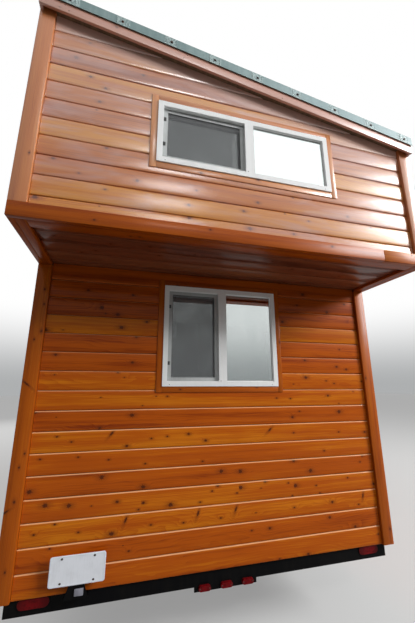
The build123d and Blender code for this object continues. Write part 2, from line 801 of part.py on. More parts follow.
def tyre():
    # Outline from bead to bead over a crowned tread with grooves, and back along the inner wall
    half = tyre_width / 2
    bead = rim_width / 2 - rim_steel
    seat = rim_radius - rim_seat_drop
    shoulder = tyre_radius - tyre_crown_drop
    tread = half - tyre_shoulder
    outer = [(bead, seat), (bead, rim_radius + rim_lip + 0.5),
             (rim_width / 2 + bead_curl, rim_radius + rim_lip + bead_curl),
             (half, rim_radius + bulge_height), (half - bulge_slope, rim_radius + upper_wall),
             (tread, shoulder)]
    tread_line = []
    for share in (groove_share, 0, -groove_share):
        middle = tread * share
        crown = tyre_radius - tyre_crown_drop * share ** 2
        low = crown - tyre_groove_depth
        side = tyre_groove_width / 2
        tread_line += [(middle + side, crown), (middle + side, low), (middle - side, low),
                       (middle - side, crown)]
    far_side = [(-x, r) for x, r in reversed(outer)]
    inner = [(bead - tyre_wall, seat), (half - tyre_wall, rim_radius + bulge_height),
             (tread - tyre_wall / 2, shoulder - tyre_wall)]
    inner_line = [(-x, r) for x, r in inner] + list(reversed(inner))
    return spin_x(outer + tread_line + far_side + inner_line)


def rim():
    # Barrel with a drop centre and two flanges, and a dished disc with hand holes
    half = rim_width / 2
    lip = rim_radius + rim_lip
    seat = rim_radius - rim_seat_drop
    drop = rim_radius - well_drop
    shelf = half - well_start
    well = half - well_end
    outer = [(-half, lip), (-half + rim_steel, lip), (-half + rim_steel, seat), (-shelf, seat),
             (-well, drop), (well, drop), (shelf, seat), (half - rim_steel, seat),
             (half - rim_steel, lip), (half, lip)]
    inner = [(half, seat - rim_steel), (shelf, seat - rim_steel), (well, drop - rim_steel),
             (-well, drop - rim_steel), (-shelf, seat - rim_steel), (-half, seat - rim_steel)]
    barrel = spin_x(outer + inner)
    edge = drop - rim_steel + 1
    face = [(disc_face, hub_radius), (disc_face + disc_bulge, disc_step),
            (disc_face + disc_crown, disc_middle), (disc_face, edge)]
    back = [(x - rim_steel, r) for x, r in reversed(face)]
    disc = spin_x(face + back)
    for number in range(hand_holes):
        turn = 2 * pi * number / hand_holes
        disc -= rod_x(hand_hole_radius, 0, half, hand_hole_circle * cos(turn), hand_hole_circle * sin(turn))
    return barrel + disc


def fenders():
    # Steel wheel wells with sloping ends, open to the outside and below, with a lip on the siding
    pieces = []
    outer = side_face + fender_steel
    for side in (-1, 1):
        x0, x1 = sorted((side * fender_inner, side * outer))
        shell = prism_x(fender_outline(), x0, x1)
        lip_x = sorted((side * side_face, side * outer))
        shell += prism_x(fender_outline(fender_lip), *lip_x)
        cut_x = sorted((side * (fender_inner + fender_steel), side * 2 * outer))
        shell -= prism_x(fender_outline(-fender_steel), *cut_x)
        shell -= block(-house_width, house_width, rear_face, front_face, 0, up(-fender_drop))
        pieces.append(shell)
    return {"fenders": pieces}


def slot_y(length, height, y0, y1, x, z):
    # A stadium shape in X and Z, pulled along Y
    face = Plane.XZ * SlotOverall(length, height)
    return Pos(x, y0, z) * extrude(face, amount=y1 - y0, dir=(0, 1, 0))


def rear_end():
    # The bar under the siding, the lamps let into it, the plate and its bracket
    face = rear_face + frame_inset
    bar = block(-rear_bar_half, rear_bar_half, face, face + rear_bar_depth,
                up(-rear_bar_height), up(0))
    lamps = []
    lamp_z = up(-tail_lamp_height / 2 - lamp_edge)
    for side in (-1, 1):
        bar -= slot_y(tail_lamp_length, tail_lamp_height, face - 1, face + lamp_recess,
                      side * tail_lamp_x, lamp_z)
        lamps.append(slot_y(tail_lamp_length, tail_lamp_height, face - tail_lamp_proud,
                            face + lamp_recess, side * tail_lamp_x, lamp_z))
    strip_half = marker_lamp_spacing + marker_lamp_length / 2 + marker_strip_end
    marker_z = up(-marker_lamp_drop)
    bar += block(marker_lamp_place - strip_half, marker_lamp_place + strip_half, face, face + steel,
                 marker_z - marker_strip_height / 2, up(-rear_bar_height) + lamp_edge)
    for number in (-1, 0, 1):
        x = marker_lamp_place + number * marker_lamp_spacing
        lamps.append(slot_y(marker_lamp_length, marker_lamp_height, face - marker_lamp_thickness, face,
                            x, marker_z))
    plate_face = rear_face - plate_off
    back = plate_face + plate_thickness
    foot_half = bracket_foot / 2
    head_half = bracket_head / 2
    low = up(-bracket_drop)
    middle = up(plate_bottom)
    high = up(plate_bottom + bracket_rise)
    arm = block(plate_place - foot_half, plate_place + foot_half, back, face + bracket_hold,
                low, low + bracket_steel)
    riser = prism_y([(plate_place - foot_half, low), (plate_place + foot_half, low),
                     (plate_place + head_half, middle), (plate_place + head_half, high),
                     (plate_place - head_half, high), (plate_place - head_half, middle)],
                    back, back + bracket_steel)
    bar += arm + riser
    outline = RectangleRounded(plate_width, plate_height, plate_corner)
    plate = extrude(Plane.XZ * outline, amount=plate_thickness, dir=(0, 1, 0))
    plate = Pos(plate_place, plate_face, up(plate_bottom + plate_height / 2)) * plate
    return {"rear_bar": [bar], "rear_lamps": lamps, "licence_plate": [plate]}


def tongue():
    # Two channels that meet in the coupler, a seat for the jack, and the coupler's cup and latch
    nose = front_face + tongue_reach
    spread = tan(radians(tongue_half_angle))
    apex = nose - coupler_cup
    half_base = (apex - front_face) * spread
    tip = coupler_cup / 2
    parts = []
    for side in (-1, 1):
        beam = channel((side * half_base, front_face), (side * tip, apex - tip / spread), rail_height,
                       tongue_flange, side)
        parts.append(Pos(0, 0, rail_bottom) * beam)
    seat_half = (apex - jack_y) * spread
    seat_front = seat_half * seat_taper
    parts.append(prism_z([(-seat_half, jack_y - seat_back), (seat_half, jack_y - seat_back),
                          (seat_front, jack_y + seat_reach), (-seat_front, jack_y + seat_reach)],
                         siding_bottom, siding_bottom + jack_seat))
    body_back = nose - coupler_length
    back_half = (apex - body_back) * spread + steel
    throat = nose - 1.5 * coupler_cup
    parts.append(prism_z([(-back_half, body_back), (back_half, body_back), (coupler_cup, throat),
                          (-coupler_cup, throat)],
                         siding_bottom - coupler_drop, siding_bottom + coupler_rise))
    ball_z = siding_bottom - coupler_rise
    ball_y = nose - coupler_cup
    cup = Sphere(coupler_cup) + Pos(0, 0, -coupler_drop / 4) * Cylinder(coupler_cup, coupler_drop / 2)
    socket = Sphere(ball_radius) + Pos(0, 0, -ball_radius * 1.5) * Cylinder(ball_radius, ball_radius * 3)
    latch = Pos(0, ball_y - latch_place, siding_bottom + coupler_rise + latch_height / 2)
    parts.append(Pos(0, ball_y, ball_z) * cup)
    parts.append(latch * Box(latch_width, coupler_cup, latch_height))
    lever = Box(lever_width, 2 * coupler_cup, steel)
    parts.append(latch * Pos(0, -coupler_cup, 0) * Rot(lever_tilt, 0, 0) * lever)
    solid = parts[0].fuse(*parts[1:]) - Pos(0, ball_y, ball_z) * socket
    solid -= block(-house_width, house_width, front_face - house_width, front_face, 0, 2 * siding_bottom)
    solid -= rod_z(jack_tube + jack_clearance, rail_bottom, 2 * siding_bottom, 0, jack_y)
    return {"tongue": [solid]}


def tongue_jack():
    # Outer and inner tube, foot plate, collar on its seat, gear head, and the crank with its grip
    seat = siding_bottom + jack_seat
    jack = rod_z(jack_tube, jack_tube_bottom, jack_top, 0, jack_y)
    jack += rod_z(jack_leg, jack_foot_thickness, jack_tube_bottom, 0, jack_y)
    jack += block(-jack_foot / 2, jack_foot / 2, jack_y - jack_foot / 2, jack_y + jack_foot / 2,
                  0, jack_foot_thickness)
    jack += rod_z(jack_collar, seat, seat + jack_seat, 0, jack_y)
    jack += rod_z(jack_head, jack_top - jack_foot_thickness, jack_top + jack_head, 0, jack_y)
    crank_z = jack_top + jack_head / 2
    jack += rod_x(crank_radius, 0, crank_arm, jack_y, crank_z)
    jack += rod_x(2 * crank_radius, crank_arm, crank_arm + crank_grip, jack_y, crank_z)
    return {"tongue_jack": [jack]}


def build():
    nodes = {}
    nodes.update(walls())
    nodes.update(floors())
    nodes.update(corner_boards())
    nodes.update(overhang_trim())
    nodes.update(roof())
    nodes.update(build_door())
    for name, rows in windows.items():
        frames = [on_wall(row[0], row[1], window_frame(*row[2:])) for row in rows]
        panes = [on_wall(row[0], row[1], pane) for row in rows for pane in window_glass(*row[2:])]
        trims = [on_wall(row[0], row[1], casing(*row[2:])) for row in rows]
        if name == "right_window":
            doorway = casing(door_width + 2 * door_gap, door_height + door_gap, floor_thickness, False)
            trims.append(on_wall("right", door_place, doorway))
        nodes[name + "_frame"] = frames
        nodes[name + "_glass"] = panes
        nodes[name + "_trim"] = trims
        if name in ("rear_window", "loft_window"):
            nodes[name + "_screen"] = [on_wall(row[0], row[1], window_screen(*row[2:])) for row in rows]
    nodes.update(trailer_frame())
    nodes.update(running_gear())
    nodes.update(fenders())
    nodes.update(rear_end())
    nodes.update(tongue())
    nodes.update(tongue_jack())
    return nodes


os.makedirs("parts", exist_ok=True)
for name, solids in build().items():
    shape = solids[0] if len(solids) == 1 else Compound(children=solids)
    export_step(shape, "parts/" + name + ".step")
    print(name, len(solids), round(sum(solid.volume for solid in solids) / 1e9, 4))
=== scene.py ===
import math
import random

import bmesh
import bpy
import numpy as np
from mathutils import Matrix, Vector


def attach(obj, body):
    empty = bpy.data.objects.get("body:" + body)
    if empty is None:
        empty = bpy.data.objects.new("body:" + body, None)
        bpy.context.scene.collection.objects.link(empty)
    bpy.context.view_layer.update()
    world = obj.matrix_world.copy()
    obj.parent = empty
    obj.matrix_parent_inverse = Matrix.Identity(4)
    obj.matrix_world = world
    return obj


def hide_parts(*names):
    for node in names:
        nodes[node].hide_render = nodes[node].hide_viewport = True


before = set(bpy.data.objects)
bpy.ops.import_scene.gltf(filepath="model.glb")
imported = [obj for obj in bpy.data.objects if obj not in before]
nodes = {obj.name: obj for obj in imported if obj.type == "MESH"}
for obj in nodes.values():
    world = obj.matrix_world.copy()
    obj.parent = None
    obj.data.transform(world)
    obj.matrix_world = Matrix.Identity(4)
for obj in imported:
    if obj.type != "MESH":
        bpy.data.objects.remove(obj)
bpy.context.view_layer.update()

# Places of the house in the row frame, in metres
house = {
    "rearFace": -3.31675,      # siding faces
    "loftFace": -3.96075,
    "frontFace": 2.77925,
    "sideFace": 1.3135,
    "halfWidth": 1.3335,       # outside of the corner boards
    "sidingDepth": 0.012,
    "low": 0.5,                # lower edge of the siding
    "soffit": 2.508,
    "fasciaLow": 2.488,
    "fasciaTop": 2.570,
    "trimWidth": 0.089,
    "proud": 0.020,
    "casingWidth": 0.042,
    "casingProud": 0.005,
    "roofLow": 3.637,          # lower edge of the rake boards in the middle of the house
    "slope": math.tan(math.radians(10)),
    "deckRise": 0.030,
    "deckTop": 0.121,
    "rakeGap": 0.041,
    "edgeBoard": 0.019,
}
clearance = 0.001              # between neighbouring pieces


def tell(stage):
    print("scene:", stage)


def wallFrame(wall):
    # x to the right seen from outside, y up, z outwards from the siding face
    spots = {
        "rear": ((0, house["rearFace"], 0), 0),
        "loft": ((0, house["loftFace"], 0), 0),
        "front": ((0, house["frontFace"], 0), 180),
        "right": ((house["sideFace"], house["rearFace"], 0), 90),
        "left": ((-house["sideFace"], house["rearFace"], 0), -90),
    }
    spot, turn = spots[wall]
    upright = Matrix.Rotation(math.radians(90), 4, "X")
    return Matrix.Translation(spot) @ Matrix.Rotation(math.radians(turn), 4, "Z") @ upright


def roofFrame():
    # x across the house, y along it, z up; heights follow the roof's slope
    shear = Matrix.Identity(4)
    shear[2][0] = -house["slope"]
    shear[2][3] = house["roofLow"]
    return shear


def facing(way):
    # Turns z to point along a direction
    return Vector(way).to_track_quat("Z", "Y").to_matrix().to_4x4()


def addObject(name, data):
    made = bpy.data.objects.new(name, data)
    bpy.context.scene.collection.objects.link(made)
    return made


def meshFrom(bm, name):
    mesh = bpy.data.meshes.new(name)
    bm.to_mesh(mesh)
    bm.free()
    return mesh


def finishPiece(piece, matrix, lookName, sharp):
    mesh = piece.data
    mesh.transform(matrix)
    mesh.shade_smooth()
    mesh.set_sharp_from_angle(angle=math.radians(sharp))
    mesh.materials.clear()
    mesh.materials.append(look[lookName])
    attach(piece, "root")


# Solids: blocks, turned shapes and outlines pulled out

def geometryOf(verts):
    edges = dict.fromkeys(edge for vert in verts for edge in vert.link_edges)
    faces = dict.fromkeys(face for vert in verts for face in vert.link_faces)
    return verts, list(edges), list(faces)


def vertsOf(made):
    return [item for item in made if isinstance(item, bmesh.types.BMVert)]


def cornersOf(*spans):
    # Low and high corner of a block, from a pair of places on each axis in any order
    return [Vector(corner) for corner in zip(*map(sorted, spans))]


def addBlock(bm, xs, ys, zs, edge=0.0):
    # A block, with rounded edges where edge is given
    low, high = cornersOf(xs, ys, zs)
    place = Matrix.Translation((low + high) / 2) @ Matrix.Diagonal((*(high - low), 1))
    verts = bmesh.ops.create_cube(bm, size=1, matrix=place)["verts"]
    if not edge:
        return verts
    return bmesh.ops.bevel(bm, geom=geometryOf(verts)[1], offset=edge, segments=2, profile=0.5,
                           affect="EDGES", material=-1)["verts"]


def addTurned(bm, outline, place, steps):
    # An outline of (height, radius) pairs turned about z, closed at both ends
    before = set(bm.verts)
    verts = [bm.verts.new((radius, 0, height)) for height, radius in outline]
    edges = [bm.edges.new(pair) for pair in zip(verts, verts[1:])]
    bmesh.ops.spin(bm, geom=verts + edges, cent=(0, 0, 0), axis=(0, 0, 1), steps=steps, angle=math.tau,
                   use_merge=True, use_duplicate=False)
    bmesh.ops.remove_doubles(bm, verts=[vert for vert in bm.verts if vert not in before], dist=1e-6)
    whole = [vert for vert in bm.verts if vert not in before]
    bmesh.ops.transform(bm, matrix=place, verts=whole)
    bmesh.ops.recalc_face_normals(bm, faces=geometryOf(whole)[2])


def pullOut(bm, faces, way):
    # Pulls faces out into a closed solid, and returns its corners
    verts = list(dict.fromkeys(vert for face in faces for vert in face.verts))
    ends = vertsOf(bmesh.ops.extrude_face_region(bm, geom=faces)["geom"])
    bmesh.ops.translate(bm, verts=ends, vec=way)
    whole = verts + ends
    bmesh.ops.recalc_face_normals(bm, faces=geometryOf(whole)[2])
    return whole


def addRing(bm, line, z, width, thick):
    # A ring inside a closed outline of (x, y) pairs, standing on height z
    face = bm.faces.new([bm.verts.new((x, y, z)) for x, y in line])
    face.normal_update()
    ring = bmesh.ops.inset_region(bm, faces=[face], thickness=width, depth=0, use_boundary=True,
                                  use_even_offset=True)["faces"]
    bmesh.ops.delete(bm, geom=[face], context="FACES_ONLY")
    return pullOut(bm, ring, (0, 0, thick))


def roundCorners(spots, radius, steps):
    # Outline through arcs about (x, y, first angle), each as far round as steps of 22.5 degrees take it
    line = []
    for x, y, start in spots:
        for step in range(steps):
            angle = math.radians(start + step * 22.5)
            line.append((x + radius * math.cos(angle), y + radius * math.sin(angle)))
    return line


def addRod(bm, start, end, radius, sides=12, tip=None):
    # A round bar between two points; tip is its other radius if it tapers
    start, end = Vector(start), Vector(end)
    place = Matrix.Translation((start + end) / 2) @ facing(end - start)
    bmesh.ops.create_cone(bm, cap_ends=True, cap_tris=False, segments=sides, radius1=radius,
                          radius2=radius if tip is None else tip, depth=(end - start).length, matrix=place)


def addBolt(bm, spot, out, size):
    # Hex head on a washer, standing out from spot along out
    spot, out = Vector(spot), Vector(out).normalized()
    base = spot + out * size * 0.16
    addRod(bm, spot, base, size * 1.15, 14)
    addRod(bm, base, base + out * size * 0.62, size * 0.72, 6, size * 0.66)


def addDome(bm, spot, out, radius, height):
    # A low round head, such as a nail's
    line = [(0, 0), (0, radius), (height * 0.55, radius * 0.86), (height, radius * 0.4), (height, 0)]
    addTurned(bm, line, Matrix.Translation(spot) @ facing(out), 12)


def cutAway(piece, cutters):
    # Takes the cutters' shapes out of a piece and deletes them
    for cutter in cutters:
        made = piece.modifiers.new("opening", "BOOLEAN")
        made.operation = "DIFFERENCE"
        made.solver = "EXACT"
        made.object = cutter
    depsgraph = bpy.context.evaluated_depsgraph_get()
    mesh = bpy.data.meshes.new_from_object(piece.evaluated_get(depsgraph))
    piece.modifiers.clear()
    old = piece.data
    piece.data = mesh
    bpy.data.meshes.remove(old)
    mesh.name = piece.name
    for cutter in cutters:
        bpy.data.objects.remove(cutter)


def prismCutter(outline, low=-0.05, high=0.05):
    # A closed outline in x and y, pulled along z; a wall's is as thick as its boards need
    bm = bmesh.new()
    pullOut(bm, [bm.faces.new([bm.verts.new((x, y, low)) for x, y in outline])], (0, 0, high - low))
    return addObject("cutter", meshFrom(bm, "cutter"))


def wallCutter(x0, y0, x1, y1):
    return prismCutter([(x0, y0), (x1, y0), (x1, y1), (x0, y1)])


# Node trees: a value is a socket that plain arithmetic works on

class Value:
    def __init__(self, tree, socket):
        self.tree, self.socket = tree, socket

    def __add__(self, other):
        return calc("ADD", self, other)

    def __sub__(self, other):
        return calc("SUBTRACT", self, other)

    def __rsub__(self, other):
        return calc("SUBTRACT", other, self)

    def __mul__(self, other):
        return calc("MULTIPLY", self, other)

    def __truediv__(self, other):
        return calc("DIVIDE", self, other)


def feed(sockets, values):
    # Links each socket to its value, or sets its number, vector or colour
    for key, value in values.items():
        socket = sockets[key]
        if isinstance(value, Value):
            value.tree.links.new(value.socket, socket)
        else:
            socket.default_value = (*value, 1) if socket.type == "RGBA" else value


def addNode(tree, kind, inputs=None, **settings):
    # A node's outputs as values, by name and by number
    made = tree.nodes.new(kind)
    for key, value in settings.items():
        setattr(made, key, value)
    feed(made.inputs, inputs or {})
    values = [Value(tree, output) for output in made.outputs]
    return {value.socket.name: value for value in values} | dict(enumerate(values))


def calc(operation, *values):
    tree = next(value.tree for value in values if isinstance(value, Value))
    return addNode(tree, "ShaderNodeMath", dict(enumerate(values)), operation=operation)[0]


def stretch(vector, *shares):
    return addNode(vector.tree, "ShaderNodeVectorMath", {0: vector, 1: shares},
                   operation="MULTIPLY")["Vector"]


def lengthOf(vector):
    return addNode(vector.tree, "ShaderNodeVectorMath", {0: vector}, operation="LENGTH")["Value"]


def axesOf(vector):
    made = addNode(vector.tree, "ShaderNodeSeparateXYZ", {0: vector})
    return made["X"], made["Y"], made["Z"]


def fade(value, start, end, low=0.0, high=1.0):
    # A smooth step from low at start to high at end
    return addNode(value.tree, "ShaderNodeMapRange", {"Value": value, "From Min": start, "From Max": end,
                   "To Min": low, "To Max": high}, interpolation_type="SMOOTHSTEP")["Result"]


def mixColour(factor, first, second):
    return addNode(factor.tree, "ShaderNodeMix", {0: factor, 6: first, 7: second}, data_type="RGBA")[2]


def noise(vector, scale, detail=2.0, roughness=0.5, distortion=0.0):
    return addNode(vector.tree, "ShaderNodeTexNoise", {"Vector": vector, "Scale": scale, "Detail": detail,
                   "Roughness": roughness, "Distortion": distortion})["Fac"]


def bump(height, strength, distance):
    return addNode(height.tree, "ShaderNodeBump", {"Height": height, "Strength": strength,
                   "Distance": distance})["Normal"]


def newGroup(name, inputs, outputs):
    group = bpy.data.node_groups.new(name, "ShaderNodeTree")
    for way, sockets in (("INPUT", inputs), ("OUTPUT", outputs)):
        for label, kind in sockets.items():
            group.interface.new_socket(label, in_out=way, socket_type="NodeSocket" + kind)
    return group, addNode(group, "NodeGroupInput"), group.nodes.new("NodeGroupOutput").inputs


def newMaterial(name):
    # A material, its shader's sockets and the place of each point on the object
    material = bpy.data.materials.new(name)
    material.use_nodes = True
    tree = material.node_tree
    return material, tree.nodes["Principled BSDF"].inputs, addNode(tree, "ShaderNodeTexCoord")["Object"]


# Strengths of what makes up a cedar board's figure
woodGrain = {"ring": 0.20, "streak": 1.25, "fibre": 0.40, "cloud": 0.45, "halo": 0.66, "rays": 0.65,
             "knot": 0.94, "pin": 0.8}


def boardFigure():
    # Growth rings, fibre, streaks and knots of a sawn board, in the board's own place
    group, given, out = newGroup(
        "boardFigure",
        {"Place": "Vector", "Knot": "Vector", "Tint": "Float", "Pale": "Color", "Warm": "Color",
         "Deep": "Color", "Pins": "Float"},
        {"Color": "Color", "Roughness": "Float", "Height": "Float"})
    place, knot = given["Place"], given["Knot"]
    slow = noise(stretch(place, 1.3, 7.0, 7.0), 1.0, 3.0)
    frayed = noise(stretch(knot, 1.1, 1.7, 1.0), 1.0, 4.0, 0.6)
    knotRadius = lengthOf(stretch(knot, 0.85, 1.0, 0.0)) + (frayed - 0.5) * 1.1
    wide = lengthOf(stretch(knot, 0.30, 0.62, 0.0))
    bend = (slow - 0.5) * 0.05 + calc("EXPONENT", wide * -1.0) * 0.022
    x, y, z = axesOf(place)
    ringY = y + bend
    ringZ = z + x * 0.012 + bend
    ring = calc("SQRT", ringY * ringY + ringZ * ringZ)
    late = calc("POWER", calc("FRACT", ring * 160.0), 2.2)
    fibre = noise(stretch(place, 7.0, 260.0, 260.0), 1.0, 3.0, 0.6)
    streak = noise(stretch(place, 0.9, 34.0, 34.0), 1.0, 4.0, 0.6)
    cloud = noise(stretch(place, 2.2, 9.0, 9.0), 1.0)
    tone = given["Tint"] + (streak - 0.5) * woodGrain["streak"] + (late - 0.4) * woodGrain["ring"]
    tone = tone + (fibre - 0.5) * woodGrain["fibre"] + (cloud - 0.5) * woodGrain["cloud"]
    colour = mixColour(fade(tone, 0.0, 0.5), given["Pale"], given["Warm"])
    colour = mixColour(fade(tone, 0.5, 1.0), colour, given["Deep"])
    halo = fade(wide + frayed * 0.9, 2.0, 0.5, 0.0, woodGrain["halo"])
    colour = mixColour(halo, colour, (0.20, 0.036, 0.005))
    knotX, knotY, knotTurn = axesOf(knot)
    rays = calc("SINE", calc("ARCTAN2", knotY, knotX) * 7.0 + knotTurn)
    rays = fade(rays, 0.35, 0.95) * fade(knotRadius, 1.7, 0.7)
    colour = mixColour(rays * woodGrain["rays"], colour, (0.060, 0.012, 0.003))
    core = fade(knotRadius, 1.00, 0.62, 0.0, woodGrain["knot"])
    rings = fade(calc("SINE", knotRadius * 24.0), -1.0, 1.0)
    colour = mixColour(core, colour, mixColour(rings, (0.046, 0.010, 0.003), (0.150, 0.031, 0.006)))
    cells = addNode(group, "ShaderNodeTexVoronoi", {"Vector": stretch(place, 5.0, 8.0, 0.3), "Scale": 1.0},
                    feature="F1", distance="EUCLIDEAN")
    chosen = addNode(group, "ShaderNodeSeparateColor", {0: cells["Color"]})["Red"]
    pinSize = fade(chosen, 0.6, 1.0) * (given["Pins"] * 0.06)
    pin = fade(cells["Distance"] - pinSize, 0.012, -0.008) * calc("GREATER_THAN", pinSize, 0.004)
    feed(out, {"Color": mixColour(pin * woodGrain["pin"], colour, (0.060, 0.014, 0.003)),
               "Roughness": late * 0.08 + core * 0.25 + 0.36,
               "Height": late * 0.5 + fibre * 0.5 - core * 0.5})
    return group


def grime():
    # Dust and weathering: a soft mask with streaks that run down
    group, given, out = newGroup("grime", {"Place": "Vector", "Scale": "Float"}, {"Mask": "Float"})
    large = noise(given["Place"], given["Scale"], 4.0, 0.6)
    drips = noise(stretch(given["Place"], 14.0, 14.0, 0.8), given["Scale"], 3.0, 0.55)
    feed(out, {"Mask": fade(large * 0.6 + drips * 0.4, 0.42, 0.68)})
    return group


figure = boardFigure()
dirt = grime()


def dirtOn(place, scale):
    return addNode(place.tree, "ShaderNodeGroup", {"Place": place, "Scale": scale}, node_tree=dirt)["Mask"]


def woodMaterial(name, pale, warm, deep, pins=1.0, coat=0.35, coatRoughness=0.2, specular=0.22, coatIor=1.5,
                 paintedSheen=0.0, paintedRakeLight=0.0, dullLow=1.0, paintedHighlightHigh=0.45):
    # Varnished boards. Their colour holds painted light: painted sheen in cloudy patches, painted light over
    # the rake's shadow just under the rake, and a painted highlight on each board's upper edge. dullLow is
    # the share of varnish low down, and the last argument the share of the painted edge highlight high up
    material, shader, place = newMaterial(name)
    labels = {label: addNode(place.tree, "ShaderNodeAttribute", attribute_name=label)
              for label in ("boardPlace", "knotPlace", "boardTint", "paintedHighlightEdge")}
    made = addNode(place.tree, "ShaderNodeGroup", {
        "Place": labels["boardPlace"]["Vector"], "Knot": labels["knotPlace"]["Vector"],
        "Tint": labels["boardTint"]["Fac"], "Pale": pale, "Warm": warm, "Deep": deep, "Pins": pins},
        node_tree=figure)
    x, _, height = axesOf(place)
    # Painted highlight: a pale band on each board's upper edge, full below 1.45 m and only a share of it
    # above 1.85 m
    paintedHighlight = labels["paintedHighlightEdge"]["Fac"] * fade(height, 1.85, 1.45, paintedHighlightHigh, 1.0)
    cloud = noise(stretch(place, 1.7, 1.7, 9.0), 1.0, 3.0, 0.6, 0.5)
    underRake = house["roofLow"] - x * house["slope"] - height
    # Painted sheen: cloudy patches turned pale violet
    colour = mixColour(fade(cloud, 0.45, 0.72, 0.0, paintedSheen), made["Color"], (0.52, 0.33, 0.32))
    # Painted light: the strip within about 0.12 m under the rake is paled, where the rake's shadow falls
    colour = mixColour(fade(underRake, 0.12, 0.03, 0.0, paintedRakeLight), colour, (0.86, 0.60, 0.52))
    varnish = fade(height, 2.60, 3.45, dullLow, 1.0) * coat
    # The pale orange band on the upper edges is the painted highlight
    feed(shader, {"Base Color": mixColour(paintedHighlight * 0.85, colour, (0.95, 0.54, 0.27)),
                  "Roughness": made["Roughness"], "Normal": bump(made["Height"], 0.25, 0.0006),
                  "Coat Weight": calc("MAXIMUM", paintedHighlight * 0.5, varnish), "Coat Roughness": coatRoughness,
                  "Coat IOR": coatIor, "Specular IOR Level": specular})
    return material


def plainWood(name, colour, other, roughness, shares=(3.0, 3.0, 40.0)):
    # Wood of a surface without boards of its own, such as the walls' inner face
    material, shader, place = newMaterial(name)
    streak = noise(stretch(place, *shares), 1.0, 4.0, 0.6, 0.4)
    feed(shader, {"Base Color": mixColour(fade(streak, 0.3, 0.7), colour, other), "Roughness": roughness,
                  "Normal": bump(streak, 0.3, 0.001)})
    return material


def paintMaterial(name, colour, worn, roughness, metallic=0.0, scale=3.0, amount=0.6, grain=0.25, coat=0.0,
                  specular=0.5):
    # Paint, plastic or metal with grime and a fine grain
    material, shader, place = newMaterial(name)
    mask = dirtOn(place, scale)
    fine = noise(place, 420.0)
    feed(shader, {"Base Color": mixColour(mask * amount, colour, worn),
                  "Roughness": mask * 0.18 + fine * 0.06 + roughness, "Normal": bump(fine, grain, 0.0004),
                  "Metallic": metallic, "Coat Weight": coat, "Specular IOR Level": specular})
    return material


flashing = {
    "screws": (-1.167, -0.853, -0.541, -0.248, 0.059, 0.364, 0.666, 0.975, 1.275),
    "nails": ((-1.19, 0.052), (-1.165, 0.018), (-0.46, 0.018), (-0.435, 0.052), (0.24, 0.018),
              (0.62, 0.052), (1.18, 0.018), (1.205, 0.052)),
    "face": 0.0205,            # outer face in front of the back of the rake board
    "rise": 0.105,             # screws above the lower edge of the rake board
    "screwSize": 0.0078,
    "creases": (-0.036, 0.033),  # on both sides of a screw
    "firstCrumple": -1.149,      # crumples with a painted highlight lie round the screws, a step apart
    "crumpleStep": 0.3006,
}

def flashingMaterial():
    # Painted sheet, crumpled round each screw; paler towards the low eave, a painted sheen, and paler on the
    # crumples, a painted highlight
    material, shader, place = newMaterial("greenFlashing")
    x = axesOf(place)[0]
    turns = (x - flashing["firstCrumple"]) / flashing["crumpleStep"]
    away = calc("ABSOLUTE", calc("FRACT", turns + 0.5) - 0.5) * flashing["crumpleStep"]
    crumple = noise(stretch(place, 160.0, 160.0, 40.0), 1.0, 3.0, 0.65, 0.8)
    crumpleAndGlint = fade(away, 0.044, 0.034) * fade(crumple, 0.40, 0.58)
    paint = mixColour(dirtOn(place, 2.2) * 0.7, (0.15, 0.245, 0.245), (0.29, 0.39, 0.385))
    # Painted sheen: paler towards the low eave on the right
    paint = mixColour(fade(x, -0.6, 1.4, 0.0, 0.75), paint, (0.46, 0.61, 0.63))
    # Painted highlight: the crumples round each screw are paler
    feed(shader, {"Base Color": mixColour(crumpleAndGlint * 0.75, paint, (0.46, 0.58, 0.57)),
                  "Normal": bump(crumpleAndGlint, 0.8, 0.002), "Roughness": 0.42, "Coat Weight": 0.3})
    return material


def glassMaterial():
    material, shader, place = newMaterial("windowGlass")
    smear = noise(stretch(place, 9.0, 9.0, 2.5), 1.0, 4.0)
    feed(shader, {"Base Color": mixColour(smear, (0.88, 0.92, 0.91), (0.80, 0.86, 0.85)),
                  "Roughness": fade(smear, 0.45, 0.8, 0.0, 0.05),
                  "Normal": bump(noise(place, 2.4, 1.0), 0.08, 0.004),
                  "Transmission Weight": 1.0, "Metallic": 0.60, "IOR": 1.6})
    return material


def screenMaterial():
    # Woven insect mesh: its wires are too fine to tell apart, so its cover is a share
    material, shader, place = newMaterial("insectScreen")
    shade = noise(place, 6.0)
    feed(shader, {"Base Color": mixColour(shade, (0.10, 0.105, 0.11), (0.15, 0.155, 0.16)),
                  "Alpha": fade(shade, 0.3, 0.7, 0.38, 0.46), "Roughness": 0.55})
    return material


def lensMaterial(name, colour, deep, bright):
    # Moulded lens with rows of small prisms, brighter where its reflector sits
    material, shader, place = newMaterial(name)
    prismTurn, tailReflector = 1100.0, 1.137
    x, _, z = axesOf(place)
    side = calc("ABSOLUTE", x)
    tails = fade(calc("ABSOLUTE", side - tailReflector), 0.080, 0.010)
    lit = calc("MAXIMUM", tails, fade(side, 0.32, 0.30)) * fade(noise(place, 75.0), 0.30, 0.62, 0.25, 1.0)
    prisms = calc("SINE", x * prismTurn) * calc("SINE", z * prismTurn)
    feed(shader, {"Base Color": mixColour(lit, mixColour(dirtOn(place, 9.0) * 0.5, colour, deep), bright),
                  "Normal": bump(prisms, 0.6, 0.0006), "Roughness": 0.35, "Specular IOR Level": 0.05,
                  "Coat Weight": 0.06, "Coat Roughness": 0.12})
    return material


def rubberMaterial():
    material, shader, place = newMaterial("tyreRubber")
    mask = dirtOn(place, 5.0)
    feed(shader, {"Base Color": mixColour(mask * 0.6, (0.016, 0.016, 0.017), (0.07, 0.062, 0.052)),
                  "Roughness": mask * 0.2 + 0.62, "Normal": bump(noise(place, 260.0, 3.0), 0.4, 0.0008)})
    return material


